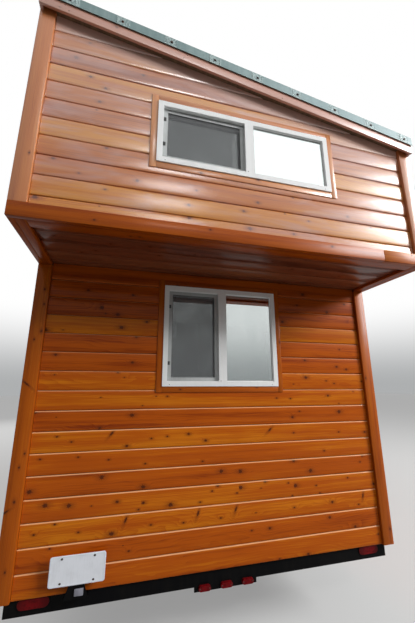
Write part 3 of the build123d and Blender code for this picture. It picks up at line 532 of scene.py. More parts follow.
tell("materials")
look = {
    "siding": woodMaterial("cedarSiding", (0.64, 0.190, 0.007), (0.47, 0.090, 0.004), (0.24, 0.033, 0.003),
                           coat=0.12, coatRoughness=0.15, specular=0.05),
    # This siding's colour holds painted sheen in cloudy patches and painted light over the rake's shadow
    "loftSiding": woodMaterial("cedarSidingVarnishedPaintedLight", (0.60, 0.235, 0.022), (0.46, 0.125, 0.012),
                               (0.25, 0.050, 0.010), coat=1.0, coatRoughness=0.24, specular=0.2, coatIor=2.1,
                               paintedSheen=0.5, paintedRakeLight=0.85, dullLow=0.35, paintedHighlightHigh=0.0),
    "trim": woodMaterial("cedarTrim", (0.54, 0.155, 0.008), (0.41, 0.086, 0.004), (0.23, 0.035, 0.003),
                         pins=0.4, coat=0.10, specular=0.10),
    "loftTrim": woodMaterial("cedarTrimVarnished", (0.64, 0.260, 0.070), (0.52, 0.170, 0.045),
                             (0.34, 0.085, 0.025), pins=0.4, coat=1.0, coatRoughness=0.25, specular=0.4),
    # Its pale violet colour is partly a painted sheen, besides the sheen its coat gives
    "rakeWoodPaintedSheen": woodMaterial("cedarRakePaintedSheen", (0.56, 0.25, 0.15), (0.46, 0.18, 0.11), (0.33, 0.11, 0.06),
                             pins=0.4, coat=1.0, coatRoughness=0.38, specular=0.2, coatIor=2.1),
    # Greyer than the other cedar: its extra green and blue are a painted sheen
    "soffit": woodMaterial("cedarSoffitPaintedSheen", (0.36, 0.125, 0.050), (0.24, 0.072, 0.032), (0.11, 0.030, 0.015),
                           coat=0.3, coatRoughness=0.1, specular=0.10),
    "doorWood": woodMaterial("doorWood", (0.50, 0.20, 0.05), (0.38, 0.12, 0.022), (0.24, 0.06, 0.012),
                             pins=0.2),
    "wallSlab": plainWood("wallSlab", (0.10, 0.045, 0.018), (0.05, 0.022, 0.010), 0.7),
    "doorLeaf": plainWood("doorLeafWood", (0.40, 0.13, 0.025), (0.26, 0.07, 0.013), 0.4, (30.0, 30.0, 2.0)),
    "floor": plainWood("floorWood", (0.20, 0.12, 0.06), (0.12, 0.07, 0.035), 0.6, (40.0, 2.0, 3.0)),
    "vinyl": paintMaterial("whiteVinyl", (0.90, 0.91, 0.91), (0.74, 0.74, 0.72), 0.34, scale=4.0,
                           amount=0.35, grain=0.1),
    "glass": glassMaterial(),
    "screen": screenMaterial(),
    "screenRim": paintMaterial("screenRim", (0.46, 0.48, 0.48), (0.34, 0.35, 0.34), 0.42, scale=9.0),
    "flashing": flashingMaterial(),
    "roof": paintMaterial("greenRoof", (0.16, 0.235, 0.225), (0.27, 0.345, 0.330), 0.40, scale=2.2,
                          amount=0.7, grain=0.15, coat=0.3),
    "steel": paintMaterial("blackSteel", (0.0025, 0.0025, 0.003), (0.009, 0.008, 0.007), 0.45, scale=3.5,
                           amount=0.5, grain=0.6, specular=0.05),
    "lens": lensMaterial("redLens", (0.085, 0.003, 0.004), (0.035, 0.002, 0.003), (0.17, 0.004, 0.006)),
    "clearLens": lensMaterial("clearLens", (0.30, 0.30, 0.35), (0.20, 0.20, 0.24), (0.34, 0.34, 0.38)),
    "plate": paintMaterial("plateWhite", (0.86, 0.89, 0.95), (0.66, 0.68, 0.72), 0.30, scale=14.0,
                           amount=0.4, grain=0.1, coat=0.3),
    "brass": paintMaterial("doorBrass", (0.62, 0.40, 0.13), (0.30, 0.18, 0.06), 0.24, metallic=1.0,
                           scale=24.0),
    "rubber": rubberMaterial(),
    "rim": paintMaterial("rimSilver", (0.52, 0.53, 0.54), (0.28, 0.25, 0.21), 0.34, metallic=0.7, scale=7.0),
    "spring": paintMaterial("springSteel", (0.045, 0.042, 0.040), (0.13, 0.055, 0.025), 0.52, metallic=0.6,
                            scale=16.0, amount=0.7, grain=0.7),
    "zinc": paintMaterial("jackZinc", (0.42, 0.43, 0.44), (0.22, 0.21, 0.19), 0.40, metallic=0.85,
                          scale=12.0, amount=0.5),
    "blackPlastic": paintMaterial("blackPlastic", (0.012, 0.012, 0.012), (0.05, 0.05, 0.05), 0.42,
                                  scale=30.0),
    "gasket": paintMaterial("gasket", (0.22, 0.22, 0.22), (0.30, 0.30, 0.30), 0.6, scale=20.0),
}

windowNodes = {"rear": "rear_window", "loft": "loft_window", "left": "left_windows", "right": "right_window",
               "front": "front_windows"}

cadLooks = {
    "wallSlab": ("rear_wall", "loft_rear_wall", "front_wall", "left_wall", "right_wall"),
    "floor": ("floor_deck", "loft_floor", "roof_deck"),
    "roof": ("roof_sheet",),
    "flashing": ("roof_flashings",),
    "brass": ("door_knob",),
    "vinyl": [name + "_frame" for name in windowNodes.values()],
    "glass": [name + "_glass" for name in windowNodes.values()],
    "screen": ("rear_window_screen", "loft_window_screen"),
    "steel": ("trailer_frame", "axles", "fenders", "rear_bar", "tongue"),
    "spring": ("leaf_springs", "spring_links"),
    "rubber": ("tyres",),
    "rim": ("wheel_rims",),
    "lens": ("rear_lamps",),
    "plate": ("licence_plate",),
    "zinc": ("tongue_jack",),
    "doorLeaf": ("door_leaf",),
}
for lookName, names in cadLooks.items():
    for nodeName in names:
        nodes[nodeName].data.materials.clear()
        nodes[nodeName].data.materials.append(look[lookName])


# Boards: each one keeps its own place, tint and knots, which its wood follows

def startStack(name, matrix, seed):
    return {"name": name, "matrix": matrix, "bm": bmesh.new(), "boards": [], "draw": random.Random(seed)}


def cutForKnots(bm, verts, axis, start, knots):
    # Splits a board between its knots, so that each stretch follows one knot
    normal = Vector((0, 0, 0))
    normal[axis] = 1
    for first, second in zip(knots, knots[1:]):
        spot = start + (first[0] + second[0]) / 2
        verts, edges, faces = geometryOf([vert for vert in verts if vert.is_valid])
        made = bmesh.ops.bisect_plane(bm, geom=verts + edges + faces, plane_co=normal * spot, plane_no=normal,
                                      dist=1e-6)
        verts = list(dict.fromkeys(verts + vertsOf(made["geom_cut"])))


def recordBoard(stack, low, high, grainAxis, across, tint, knots):
    draw = stack["draw"]
    offset = Vector((draw.uniform(0, 30), draw.uniform(-0.22, 0.22), draw.uniform(0.03, 0.25)))
    offset.z += 0.012 * -offset.x
    stack["boards"].append({"low": Vector(low), "high": Vector(high), "offset": offset, "tint": tint,
                            "axes": (grainAxis, across, 3 - grainAxis - across), "knots": knots})


def scatterKnots(stack, length, width, each, sizes=(0.006, 0.016)):
    # Knots of a board that the photograph doesn't show
    draw = stack["draw"]
    count = int(length / each * draw.uniform(0.6, 1.4) + draw.random())
    knots = [(draw.uniform(0.04, length - 0.04), draw.uniform(0.12, 0.88) * width, draw.uniform(*sizes))
             for _ in range(count)]
    return sorted(knots)


def addBoard(stack, xs, ys, zs, grainAxis, across, tint=None, knots=None, edge=0.0025):
    # A planed board with eased edges; grainAxis and across are the axes of its length and width
    low, high = cornersOf(xs, ys, zs)
    if tint is None:
        tint = stack["draw"].uniform(0.25, 0.75)
    if knots is None:
        size = high - low
        knots = scatterKnots(stack, size[grainAxis], size[across], 0.9, (0.004, 0.009))
    cutForKnots(stack["bm"], addBlock(stack["bm"], xs, ys, zs, edge), grainAxis, low[grainAxis], knots)
    recordBoard(stack, low, high, grainAxis, across, tint, knots)


logShape = {
    "pitch": 0.126,
    "gap": 0.0009,
    "belly": 0.0022,           # how far the middle stands in front of the shoulders
    "foot": 0.0058,            # height of the small round at the lower edge
    "shoulder": 0.0085,        # and of the ledge at the upper edge
    "seat": 0.0118,            # back of the board behind the siding face
    "jointDepth": 0.0098,
    "footRound": ((0.0014, -0.0062), (0.0026, -0.0039), (0.0042, -0.0028)),
    "headRound": ((0.0056, -0.0030), (0.0036, -0.0048), (0.0026, -0.0072), (0.0018, -0.0092)),
    "paintedHighlightFrom": 0.0072,      # the painted edge highlight starts this far below the top
    "paintedHighlightFade": 0.0026,
}


def addLog(stack, x0, x1, y0, pitch, tint, knots):
    # One log-shaped siding board: flat back, rolled shoulders and a round face
    bm, gap, seat, joint = stack["bm"], logShape["gap"], -logShape["seat"], -logShape["jointDepth"]
    first, last = logShape["foot"], pitch - logShape["shoulder"]
    outline = [(gap, seat), (gap, joint), *logShape["footRound"]]
    for share in np.linspace(-1, 1, 9):
        outline.append(((first + last) / 2 + share * (last - first) / 2, -logShape["belly"] * share * share))
    outline += [(pitch - y, z) for y, z in logShape["headRound"]]
    outline += [(pitch - gap, joint), (pitch - gap, seat)]
    face = bm.faces.new([bm.verts.new((x0, y0 + y, z)) for y, z in outline])
    cutForKnots(bm, pullOut(bm, [face], (x1 - x0, 0, 0)), 0, x0, knots)
    recordBoard(stack, (x0, y0, seat), (x1, y0 + pitch, 0), 0, 1, tint, knots)
    stack["boards"][-1]["rolled"] = pitch


def knotScale(knots):
    # Per knot: its place, and what turns a distance from it into its own round space
    rows = []
    for x, y, size, *spike in knots:
        longer, turn = spike or (1, 0)
        c, s = math.cos(math.radians(turn)), math.sin(math.radians(turn))
        rows.append((x, y, c / (size * longer), s / (size * longer), -s / size, c / size))
    return np.array(rows)


def readMesh(items, key, width, kind=float):
    values = np.zeros(len(items) * width, kind)
    items.foreach_get(key, values)
    return values.reshape(-1, width)


def labelWood(mesh, boards):
    # Writes each board's own place, tint, nearest knot and painted edge highlight into the mesh
    centres = readMesh(mesh.polygons, "center", 3)
    points = readMesh(mesh.vertices, "co", 3)
    corner = readMesh(mesh.loops, "vertex_index", 1, np.int32)[:, 0]
    owner = np.repeat(np.arange(len(centres)), readMesh(mesh.polygons, "loop_total", 1, np.int32)[:, 0])
    place = np.zeros((len(corner), 3))
    knotPlace = np.full((len(corner), 3), 99.0)
    paintedHighlight = np.zeros(len(corner))
    tint = np.zeros(len(centres))
    free = np.ones(len(centres), bool)
    slack = 0.0004
    for board in boards:
        low, high = np.array(board["low"]), np.array(board["high"])
        inside = free & (centres >= low - slack).all(1) & (centres <= high + slack).all(1)
        free &= ~inside
        tint[inside] = board["tint"]
        axes = list(board["axes"])
        chosen = inside[owner]
        local = (points[corner[chosen]] - low)[:, axes]
        place[chosen] = local + np.array(board["offset"])
        # Log boards carry the painted highlight, rising over the top few millimetres of each board
        if "rolled" in board:
            start = board["rolled"] - logShape["paintedHighlightFrom"]
            paintedHighlight[chosen] = np.clip((local[:, 1] - start) / logShape["paintedHighlightFade"], 0, 1)
        if board["knots"]:
            knots = knotScale(board["knots"])
            along = centres[:, axes[0]] - low[axes[0]]
            nearest = np.abs(along[:, None] - knots[:, 0][None, :]).argmin(1)[owner][chosen]
            x, y, xx, xy, yx, yy = knots[nearest].T
            dx, dy = local[:, 0] - x, local[:, 1] - y
            rayTurn = x * 7.3 + board["offset"].x
            knotPlace[chosen] = np.stack([dx * xx + dy * xy, dx * yx + dy * yy, rayTurn], 1)
    for name, kind, domain, key, values in (("boardPlace", "FLOAT_VECTOR", "CORNER", "vector", place),
                                            ("knotPlace", "FLOAT_VECTOR", "CORNER", "vector", knotPlace),
                                            ("boardTint", "FLOAT", "FACE", "value", tint),
                                            ("paintedHighlightEdge", "FLOAT", "CORNER", "value", paintedHighlight)):
        mesh.attributes.new(name, kind, domain).data.foreach_set(key, values.astype(np.float32).ravel())


def finishStack(stack, lookName, cutters=(), replaced=()):
    piece = addObject(stack["name"], meshFrom(stack["bm"], stack["name"]))
    if cutters:
        cutAway(piece, cutters)
    labelWood(piece.data, stack["boards"])
    finishPiece(piece, stack["matrix"], lookName, 32)
    if replaced:
        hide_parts(*replaced)


# Windows and the door in each wall: middle along the wall, width, height, sill above the ground, and the
# heights of the screen's clips as shares of the window's
lowerWindow = {"width": 0.902, "height": 0.749, "sill": 1.658, "clips": (0.787, 0.220)}
loftWindow = {"width": 1.207, "height": 0.445, "sill": 2.965, "clips": (0.737, 0.326)}
windows = {
    "rear": [(0.0, lowerWindow)],
    "loft": [(0.0, loftWindow)],
    "left": [(-1.300, lowerWindow), (-4.700, lowerWindow), (-0.520, loftWindow)],
    "right": [(1.300, lowerWindow)],
    "front": [(0.0, lowerWindow), (0.0, loftWindow)],
}
door = {"place": 4.560, "width": 0.819, "low": 0.590, "high": 2.574, "leafWidth": 0.813, "leafHigh": 2.571,
        "stile": 0.110, "planks": 6, "hinges": (0.80, 1.58, 2.36), "thresholdHalf": 0.449}
wheelArch = {"middle": 2.750, "foot": 0.427, "head": 0.785, "halfFoot": 0.915, "halfHead": 0.665}


def openings(wall):
    # Cutters for the windows and the door with their casings, in the wall's frame
    edge = house["casingWidth"] + clearance
    made = []
    for place, size in windows[wall]:
        half = size["width"] / 2 + edge
        made.append(wallCutter(place - half, size["sill"] - edge, place + half,
                               size["sill"] + size["height"] + edge))
    if wall == "right":
        half = door["width"] / 2 + edge
        made.append(wallCutter(door["place"] - half, door["low"], door["place"] + half, door["high"] + edge))
    return made


def layRows(stack, x0, x1, base, rows, pitch, tints=None, knotRows=None, joints=False):
    # Siding from the bottom up; long walls have butt joints that jump from row to row
    draw, gap, knotEvery = stack["draw"], 0.0006, 0.42
    for row in range(rows):
        ends = [x0, x1]
        if joints:
            ends.insert(1, x0 + (x1 - x0) * draw.choice((0.22, 0.35, 0.5, 0.62, 0.78)))
        for start, end in zip(ends, ends[1:]):
            tint = tints[row] if tints else draw.uniform(0.15, 0.85)
            if knotRows:
                knots = [(x / 1000 - start, y / 1000, size / 1000, *spike)
                         for x, y, size, *spike in knotRows.get(row, [])]
            else:
                knots = scatterKnots(stack, end - start, pitch, knotEvery)
            addLog(stack, start + gap, end - gap, base + row * pitch, pitch, tint, knots)


def overSlope(x0, x1, low, slope):
    # Outline of everything over a line that falls to the right
    high = 6.0                 # above the whole house
    return [(x0, low - slope * x0), (x1, low - slope * x1), (x1, high), (x0, high)]


def slopeCutter(wall):
    # Everything over the roof deck's underside, in a wall's frame
    slope = house["slope"] * (-1 if wall == "front" else 1)
    return prismCutter(overSlope(-1.6, 1.6, house["roofLow"] + house["deckRise"] - clearance, slope))


# Knots of the rear walls row by row, in millimetres: along the wall, height in the board and radius,
# and for a spike knot how many times longer it is and its turn in degrees
rearKnots = {
    0: [(394, 9, 6), (617, 11, 9), (1218, 71, 6)],
    1: [(-1072, 111, 6), (-620, 48, 6), (195, 74, 6), (330, 74, 9), (812, 95, 9), (1024, 14, 9)],
    2: [(-1166, 66, 6), (-1058, 109, 6), (-922, 54, 6), (-730, 26, 13), (-649, 93, 8, 2, 68),
        (-491, 51, 6), (-280, 42, 6), (-183, 87, 8, 2, 69), (-25, 45, 6), (84, 89, 8, 2, 67),
        (230, 53, 4), (529, 59, 6), (845, 67, 9), (1074, 32, 6), (1120, 88, 8, 2, 72)],
    3: [(-1122, 89, 13), (-989, 76, 13), (-859, 64, 4), (-707, 74, 9), (-573, 18, 6), (-545, 55, 9),
        (-368, 27, 13), (-169, 26, 6), (-85, 87, 6), (-45, 117, 9), (94, 61, 6), (122, 93, 13),
        (276, 77, 4), (310, 117, 9), (492, 95, 6), (520, 9, 6), (548, 73, 13), (720, 62, 6),
        (748, 9, 6), (999, 95, 6), (1229, 36, 9)],
    4: [(-1217, 44, 13), (-811, 95, 13), (-550, 21, 13), (-19, 81, 13), (123, 70, 13),
        (546, 117, 13), (682, 39, 13), (1127, 74, 6), (1155, 117, 9)],
    5: [(-1180, 94, 6), (-962, 95, 6), (-776, 70, 6), (-543, 33, 6), (-153, 25, 6), (813, 45, 6)],
    6: [(-1098, 95, 6), (-1010, 61, 6), (-769, 101, 8, 2, 50), (-668, 21, 9), (-509, 61, 6),
        (-402, 70, 6), (-254, 80, 9), (-131, 32, 9), (364, 86, 8, 2, 41), (561, 58, 6),
        (959, 50, 6), (1203, 41, 9)],
    7: [(-1238, 117, 9), (-847, 12, 9), (-645, 88, 13), (559, 45, 9), (623, 87, 6), (981, 77, 13)],
    8: [(-854, 79, 4), (-578, 22, 4), (-488, 84, 4), (-410, 83, 6), (434, 62, 6), (552, 57, 6),
        (891, 77, 9), (988, 15, 4), (1136, 108, 4)],
    9: [(-1153, 99, 4), (-755, 117, 6), (-710, 84, 4), (587, 41, 4), (703, 93, 13), (887, 67, 6),
        (960, 47, 6), (1231, 64, 6)],
    10: [(-1161, 104, 9), (-662, 62, 9), (705, 103, 9), (999, 56, 9), (1092, 36, 9)],
    11: [(-645, 117, 9), (1043, 74, 6)],
    12: [(-1240, 15, 13), (-1133, 20, 4), (-751, 55, 13), (-576, 105, 9)],
    13: [(-1074, 117, 6), (-894, 67, 13), (-866, 24, 6), (-782, 22, 13), (523, 37, 13)],
    14: [(-996, 61, 9), (-683, 49, 9), (669, 61, 9), (957, 18, 13), (1143, 102, 9)],
    15: [(732, 36, 13)],
}
loftKnots = {
    0: [(-1217, 113, 13), (-396, 117, 13), (-115, 65, 4), (-15, 99, 13), (288, 103, 9)],
    1: [(-877, 92, 6), (-401, 72, 9), (-52, 87, 9), (234, 114, 4), (405, 85, 6), (901, 107, 6)],
    2: [(-1157, 110, 9), (-1020, 42, 6), (-706, 54, 9), (-356, 53, 6), (46, 37, 9), (301, 117, 6),
        (717, 39, 9)],
    3: [(-889, 112, 9)],
    5: [(-963, 109, 4)],
    6: [(-951, 45, 9)],
    7: [(-1015, 88, 9), (-924, 26, 9)],
    8: [(-1107, 79, 13), (-708, 68, 9)],
    9: [(-1040, 94, 9)],
}
rearTints = (0.48, 0.58, 0.36, 0.40, 0.60, 0.50, 0.34, 0.68, 0.36, 0.36, 0.62, 0.66, 0.28, 0.75, 0.72, 0.66)
loftTints = (0.25, 0.20, 0.52, 0.50, 0.22, 0.62, 0.58, 0.24, 0.75, 0.38, 0.50, 0.45)

# Rows of boards; the loft's first row and pitch follow the joints in the photograph
siding = {"rearRows": 16, "rows": 28, "loftBase": 2.5057, "loftRows": 12, "loftPitch": 0.1263}


def buildSiding():
    low, pitch, past = house["low"], logShape["pitch"], 2.0
    inner = house["halfWidth"] - house["trimWidth"] - clearance
    rear = startStack("rear_siding", wallFrame("rear"), 11)
    layRows(rear, -inner, inner, low, siding["rearRows"], pitch, rearTints, rearKnots)
    top = wallCutter(-past, house["soffit"] - clearance, past, 3)
    finishStack(rear, "siding", openings("rear") + [top])

    loft = startStack("loft_siding", wallFrame("loft"), 12)
    layRows(loft, -inner, inner, siding["loftBase"], siding["loftRows"], siding["loftPitch"], loftTints,
            loftKnots)
    below = wallCutter(-past, 2.3, past, house["fasciaTop"] + clearance)
    finishStack(loft, "loftSiding", openings("loft") + [below, slopeCutter("loft")])

    front = startStack("front_siding", wallFrame("front"), 13)
    layRows(front, -inner, inner, low, siding["rows"], pitch)
    finishStack(front, "siding", openings("front") + [slopeCutter("front")])

    cover = house["trimWidth"] - house["proud"] + clearance
    toFront = house["frontFace"] - house["rearFace"] - cover
    toLoft = house["rearFace"] - house["loftFace"] - cover
    for wall, side, seed in (("right", 1, 14), ("left", -1, 15)):
        stack = startStack(wall + "_siding", wallFrame(wall), seed)
        layRows(stack, *sorted((-side * toLoft, side * toFront)), low, siding["rows"], pitch, joints=True)
        deckLow = house["roofLow"] + house["deckRise"] - side * house["slope"] * house["sideFace"] - clearance
        middle, head = side * wheelArch["middle"], wheelArch["head"] + clearance
        wide, narrow = wheelArch["halfFoot"] + clearance, wheelArch["halfHead"] + clearance
        arch = prismCutter([(middle - wide, wheelArch["foot"]), (middle + wide, wheelArch["foot"]),
                            (middle + narrow, head), (middle - narrow, head)])
        under = wallCutter(side * cover, 0, -side * past, house["fasciaLow"] + clearance)
        beside = wallCutter(side * (clearance - house["proud"]), 2, -side * past,
                            house["fasciaTop"] + clearance)
        roof = wallCutter(-8, deckLow, 8, 5)
        finishStack(stack, "siding", openings(wall) + [under, beside, roof, arch])


tell("siding")
buildSiding()


def casingBoards(stack, place, width, low, high, hasSill=True):
    # Side boards run through, head and sill between them
    half, wide = width / 2, house["casingWidth"]
    depth = (-house["sidingDepth"], house["casingProud"])
    foot = low - wide if hasSill else low
    for x0 in (place - half - wide, place + half):
        addBoard(stack, (x0, x0 + wide), (foot, high + wide), depth, 1, 0)
    addBoard(stack, (place - half, place + half), (high, high + wide), depth, 0, 1)
    if hasSill:
        addBoard(stack, (place - half, place + half), (foot, low), depth, 0, 1)


def buildCasings():
    for number, (wall, name) in enumerate(windowNodes.items()):
        stack = startStack(wall + "_casings", wallFrame(wall), 30 + number)
        for place, size in windows[wall]:
            casingBoards(stack, place, size["width"], size["sill"], size["sill"] + size["height"])
        if wall == "right":
            casingBoards(stack, door["place"], door["width"], door["low"], door["high"], False)
        finishStack(stack, "loftTrim" if wall == "loft" else "trim", replaced=(name + "_trim",))


def roofCutters():
    # Everything over the roof deck's underside and behind the eave boards
    gap, outer = 0.0005, 1.5
    low, inner = house["roofLow"] - gap, house["halfWidth"] - house["edgeBoard"] - gap
    spans = ((-2.0, 2.0, low + house["deckRise"]), (-inner, -outer, low), (inner, outer, low))
    made = [prismCutter(overSlope(*span, house["slope"]), -5, 5) for span in spans]
    for piece in made:
        piece.data.transform(Matrix.Rotation(math.radians(90), 4, "X"))
    return made


# Knots of the rear left corner board: height on it, place across it and radius, with a spike
cornerKnots = [(0.158, 0.049, 0.006), (0.455, 0.008, 0.006, 3, 60), (0.506, 0.048, 0.008),
               (0.690, 0.050, 0.006), (0.765, 0.070, 0.006), (1.176, 0.028, 0.006, 4, -50),
               (1.458, 0.038, 0.006), (1.515, 0.074, 0.008), (1.700, 0.070, 0.006), (1.805, 0.062, 0.008)]


def buildCorners():
    # Two boards at each corner: the end board covers the edge of the side board
    half, width, proud, depth = (house[key] for key in ("halfWidth", "trimWidth", "proud", "sidingDepth"))
    tint, past = 0.55, 4.2
    groups = (("corner_boards_cedar", "trim", 41, ("corner_boards",),
               ((house["rearFace"], 1, house["low"], house["fasciaLow"]),
                (house["frontFace"], -1, house["low"], past))),
              ("loft_corner_boards", "loftTrim", 51, (), ((house["loftFace"], 1, house["fasciaTop"], past),)))
    for name, lookName, seed, replaced, faces in groups:
        stack = startStack(name, Matrix.Identity(4), seed)
        for face, inward, low, high in faces:
            for side in (-1, 1):
                knots = cornerKnots if (face, side) == (house["rearFace"], -1) else None
                addBoard(stack, (side * (half - width), side * half),
                         (face - inward * proud, face + inward * depth), (low, high), 2, 0, tint, knots)
                addBoard(stack, (side * (house["sideFace"] - depth), side * half),
                         (face + inward * (depth + 0.0004), face + inward * (width - proud)), (low, high),
                         2, 1, tint)
        finishStack(stack, lookName, roofCutters(), replaced)


fascia = {"joint": 0.965, "gap": 0.0004, "leftTint": 0.62, "rightTint": 0.25, "underTint": 0.7,
          "returnTint": 0.5, "knots": [(0.42, 0.030, 0.006), (1.06, 0.061, 0.007), (1.885, 0.056, 0.008)]}


def buildOverhangTrim():
    # Fascia across the loft with its butt joint, returns, and the flat boards under the rim
    stack = startStack("overhang_boards", Matrix.Identity(4), 42)
    half, width, proud, depth = (house[key] for key in ("halfWidth", "trimWidth", "proud", "sidingDepth"))
    seam, loftFace, rearEdge = 0.0005, house["loftFace"], house["rearFace"] - proud
    low, high = house["fasciaLow"], house["fasciaTop"]
    under, across = (low, house["soffit"] - 0.0003), (loftFace - proud, loftFace + depth)
    start = loftFace + depth + seam
    addBoard(stack, (-half, fascia["joint"] - fascia["gap"]), across, (low, high), 0, 2, fascia["leftTint"],
             fascia["knots"])
    addBoard(stack, (fascia["joint"] + fascia["gap"], half), across, (low, high), 0, 2, fascia["rightTint"])
    addBoard(stack, (width - half, half - width), (start, loftFace + width), under, 0, 1, fascia["underTint"])
    for side in (-1, 1):
        end, inner = side * half, half - proud - depth
        addBoard(stack, (side * (half - width), side * (inner - seam)), (start, rearEdge), under, 1, 0,
                 fascia["underTint"])
        addBoard(stack, (side * inner, end), (start, rearEdge), (low, high), 1, 2, fascia["returnTint"])
        addBoard(stack, (side * (house["sideFace"] + seam), end), (rearEdge + 0.0002, rearEdge + width),
                 (low + 0.0002, high), 1, 2, fascia["returnTint"])
    finishStack(stack, "trim", replaced=("overhang_trim",))


# Knots as the photograph shows them, from the house's middle; those further than knotsSeen from a board's
# left end are scattered
soffit = {"firstJoint": -3.8055, "step": 0.139, "gap": 0.0004, "thick": 0.019, "knotsSeen": 1.4, "knots": (
    (), ((-1.155, 0.048, 0.010), (-0.840, 0.077, 0.010), (-0.601, 0.055, 0.013), (-0.307, 0.094, 0.009)),
    ((-1.028, 0.110, 0.009), (-0.936, 0.061, 0.009), (-0.533, 0.035, 0.009)), (), ((-0.316, 0.023, 0.009),))}


def buildSoffit():
    # Tongue-and-groove boards across the overhang
    stack = startStack("soffit_boards", Matrix.Identity(4), 43)
    depth, gap = house["sidingDepth"], soffit["gap"]
    half = house["sideFace"] - depth
    lines = [soffit["firstJoint"] + soffit["step"] * number for number in range(4)]
    lines = [house["loftFace"] + depth, *lines, house["rearFace"] + depth]
    for y0, y1, seen in zip(lines, lines[1:], soffit["knots"]):
        free = scatterKnots(stack, 2 * half, y1 - y0, 0.5, (0.006, 0.012))
        knots = [(x + half, y, size) for x, y, size in seen]
        knots = sorted(knots + [knot for knot in free if knot[0] > soffit["knotsSeen"]])
        addBoard(stack, (-half, half), (y0 + gap, y1 - gap),
                 (house["soffit"], house["soffit"] + soffit["thick"]), 0, 1, knots=knots, edge=0.004)
    finishStack(stack, "soffit", replaced=("overhang_soffit",))


def rakeBacks():
    # Back of the rake board at each end, and the way out from it
    return ((house["loftFace"] - house["rakeGap"], -1), (house["frontFace"] + house["rakeGap"], 1))


def buildRoofEdges():
    stack = startStack("roof_edge_cedar", roofFrame(), 44)
    half, board, gap, rakeHigh = house["halfWidth"], house["edgeBoard"], 0.0005, 0.090
    (rear, _), (front, _) = rakeBacks()
    for back, way in rakeBacks():
        addBoard(stack, (-half, half), (back, back + way * board), (0, rakeHigh), 0, 2, 0.45)
    for side in (-1, 1):
        addBoard(stack, (side * (half - board), side * half), (rear + gap, front - gap),
                 (0, house["deckTop"]), 1, 2, 0.5)
    finishStack(stack, "rakeWoodPaintedSheen", replaced=("roof_edge_boards",))


tell("trim")
buildCasings()
buildCorners()
buildOverhangTrim()
buildSoffit()
buildRoofEdges()


# Small parts: window furniture, fasteners, lamps, plate, door and running gear

def detailPiece(name, bm, lookName, matrix=Matrix.Identity(4), sharp=35):
    finishPiece(addObject(name, meshFrom(bm, name)), matrix, lookName, sharp)


def addFrameStrip(bm, xs, ys, zs, width, edge=0.0006):
    # Four bars round an opening, inside its outline
    (x0, x1), (y0, y1) = xs, ys
    for y in (y0, y1 - width):
        addBlock(bm, xs, (y, y + width), zs, edge)
    for x in (x0, x1 - width):
        addBlock(bm, (x, x + width), (y0 + width, y1 - width), zs, edge)


def addGlazingBead(bm, xs, ys, glass, rise, lip, width):
    # Bead round a fixed pane: a ring whose inner upper edge slopes down to lip
    (x0, x1), (y0, y1), half = xs, ys, width / 2
    for vert in addRing(bm, ((x0, y0), (x1, y0), (x1, y1), (x0, y1)), glass, width, rise - glass):
        x, y, z = vert.co
        if x0 + half < x < x1 - half and y0 + half < y < y1 - half and z > (glass + rise) / 2:
            vert.co.z = lip


# Sizes of a window's parts; face, glass and screen stand so far in front of the siding face
frameShape = {"width": 0.035, "face": 0.012, "glass": -0.004, "mullion": 0.030, "screen": -0.012,
              "screenThick": 0.007, "screenRim": 0.009, "rail": 0.028, "bead": 0.006, "gasket": 0.0026,
              "track": 0.003, "tracks": (0.006, 0.016), "weepEdge": 0.052, "weepRise": 0.013,
              # blocks of a clip: from and to across, half height, from and to outwards
              "clip": ((0.001, 0.018, 0.013, 0, 0.005), (0.005, 0.012, 0.004, 0.005, 0.008))}
windowParts = {"gaskets": ("gasket", "white_vinyl"), "glazing_beads": ("vinyl", "white_vinyl"),
               "weep_holes": ("blackPlastic", "white_vinyl"), "sash_tracks": ("vinyl", "white_vinyl"),
               "screen_clips": ("blackPlastic", "white_vinyl"), "screen_rims": ("screenRim", "insect_screen"),
               "screen_mesh": ("screen", "insect_screen")}


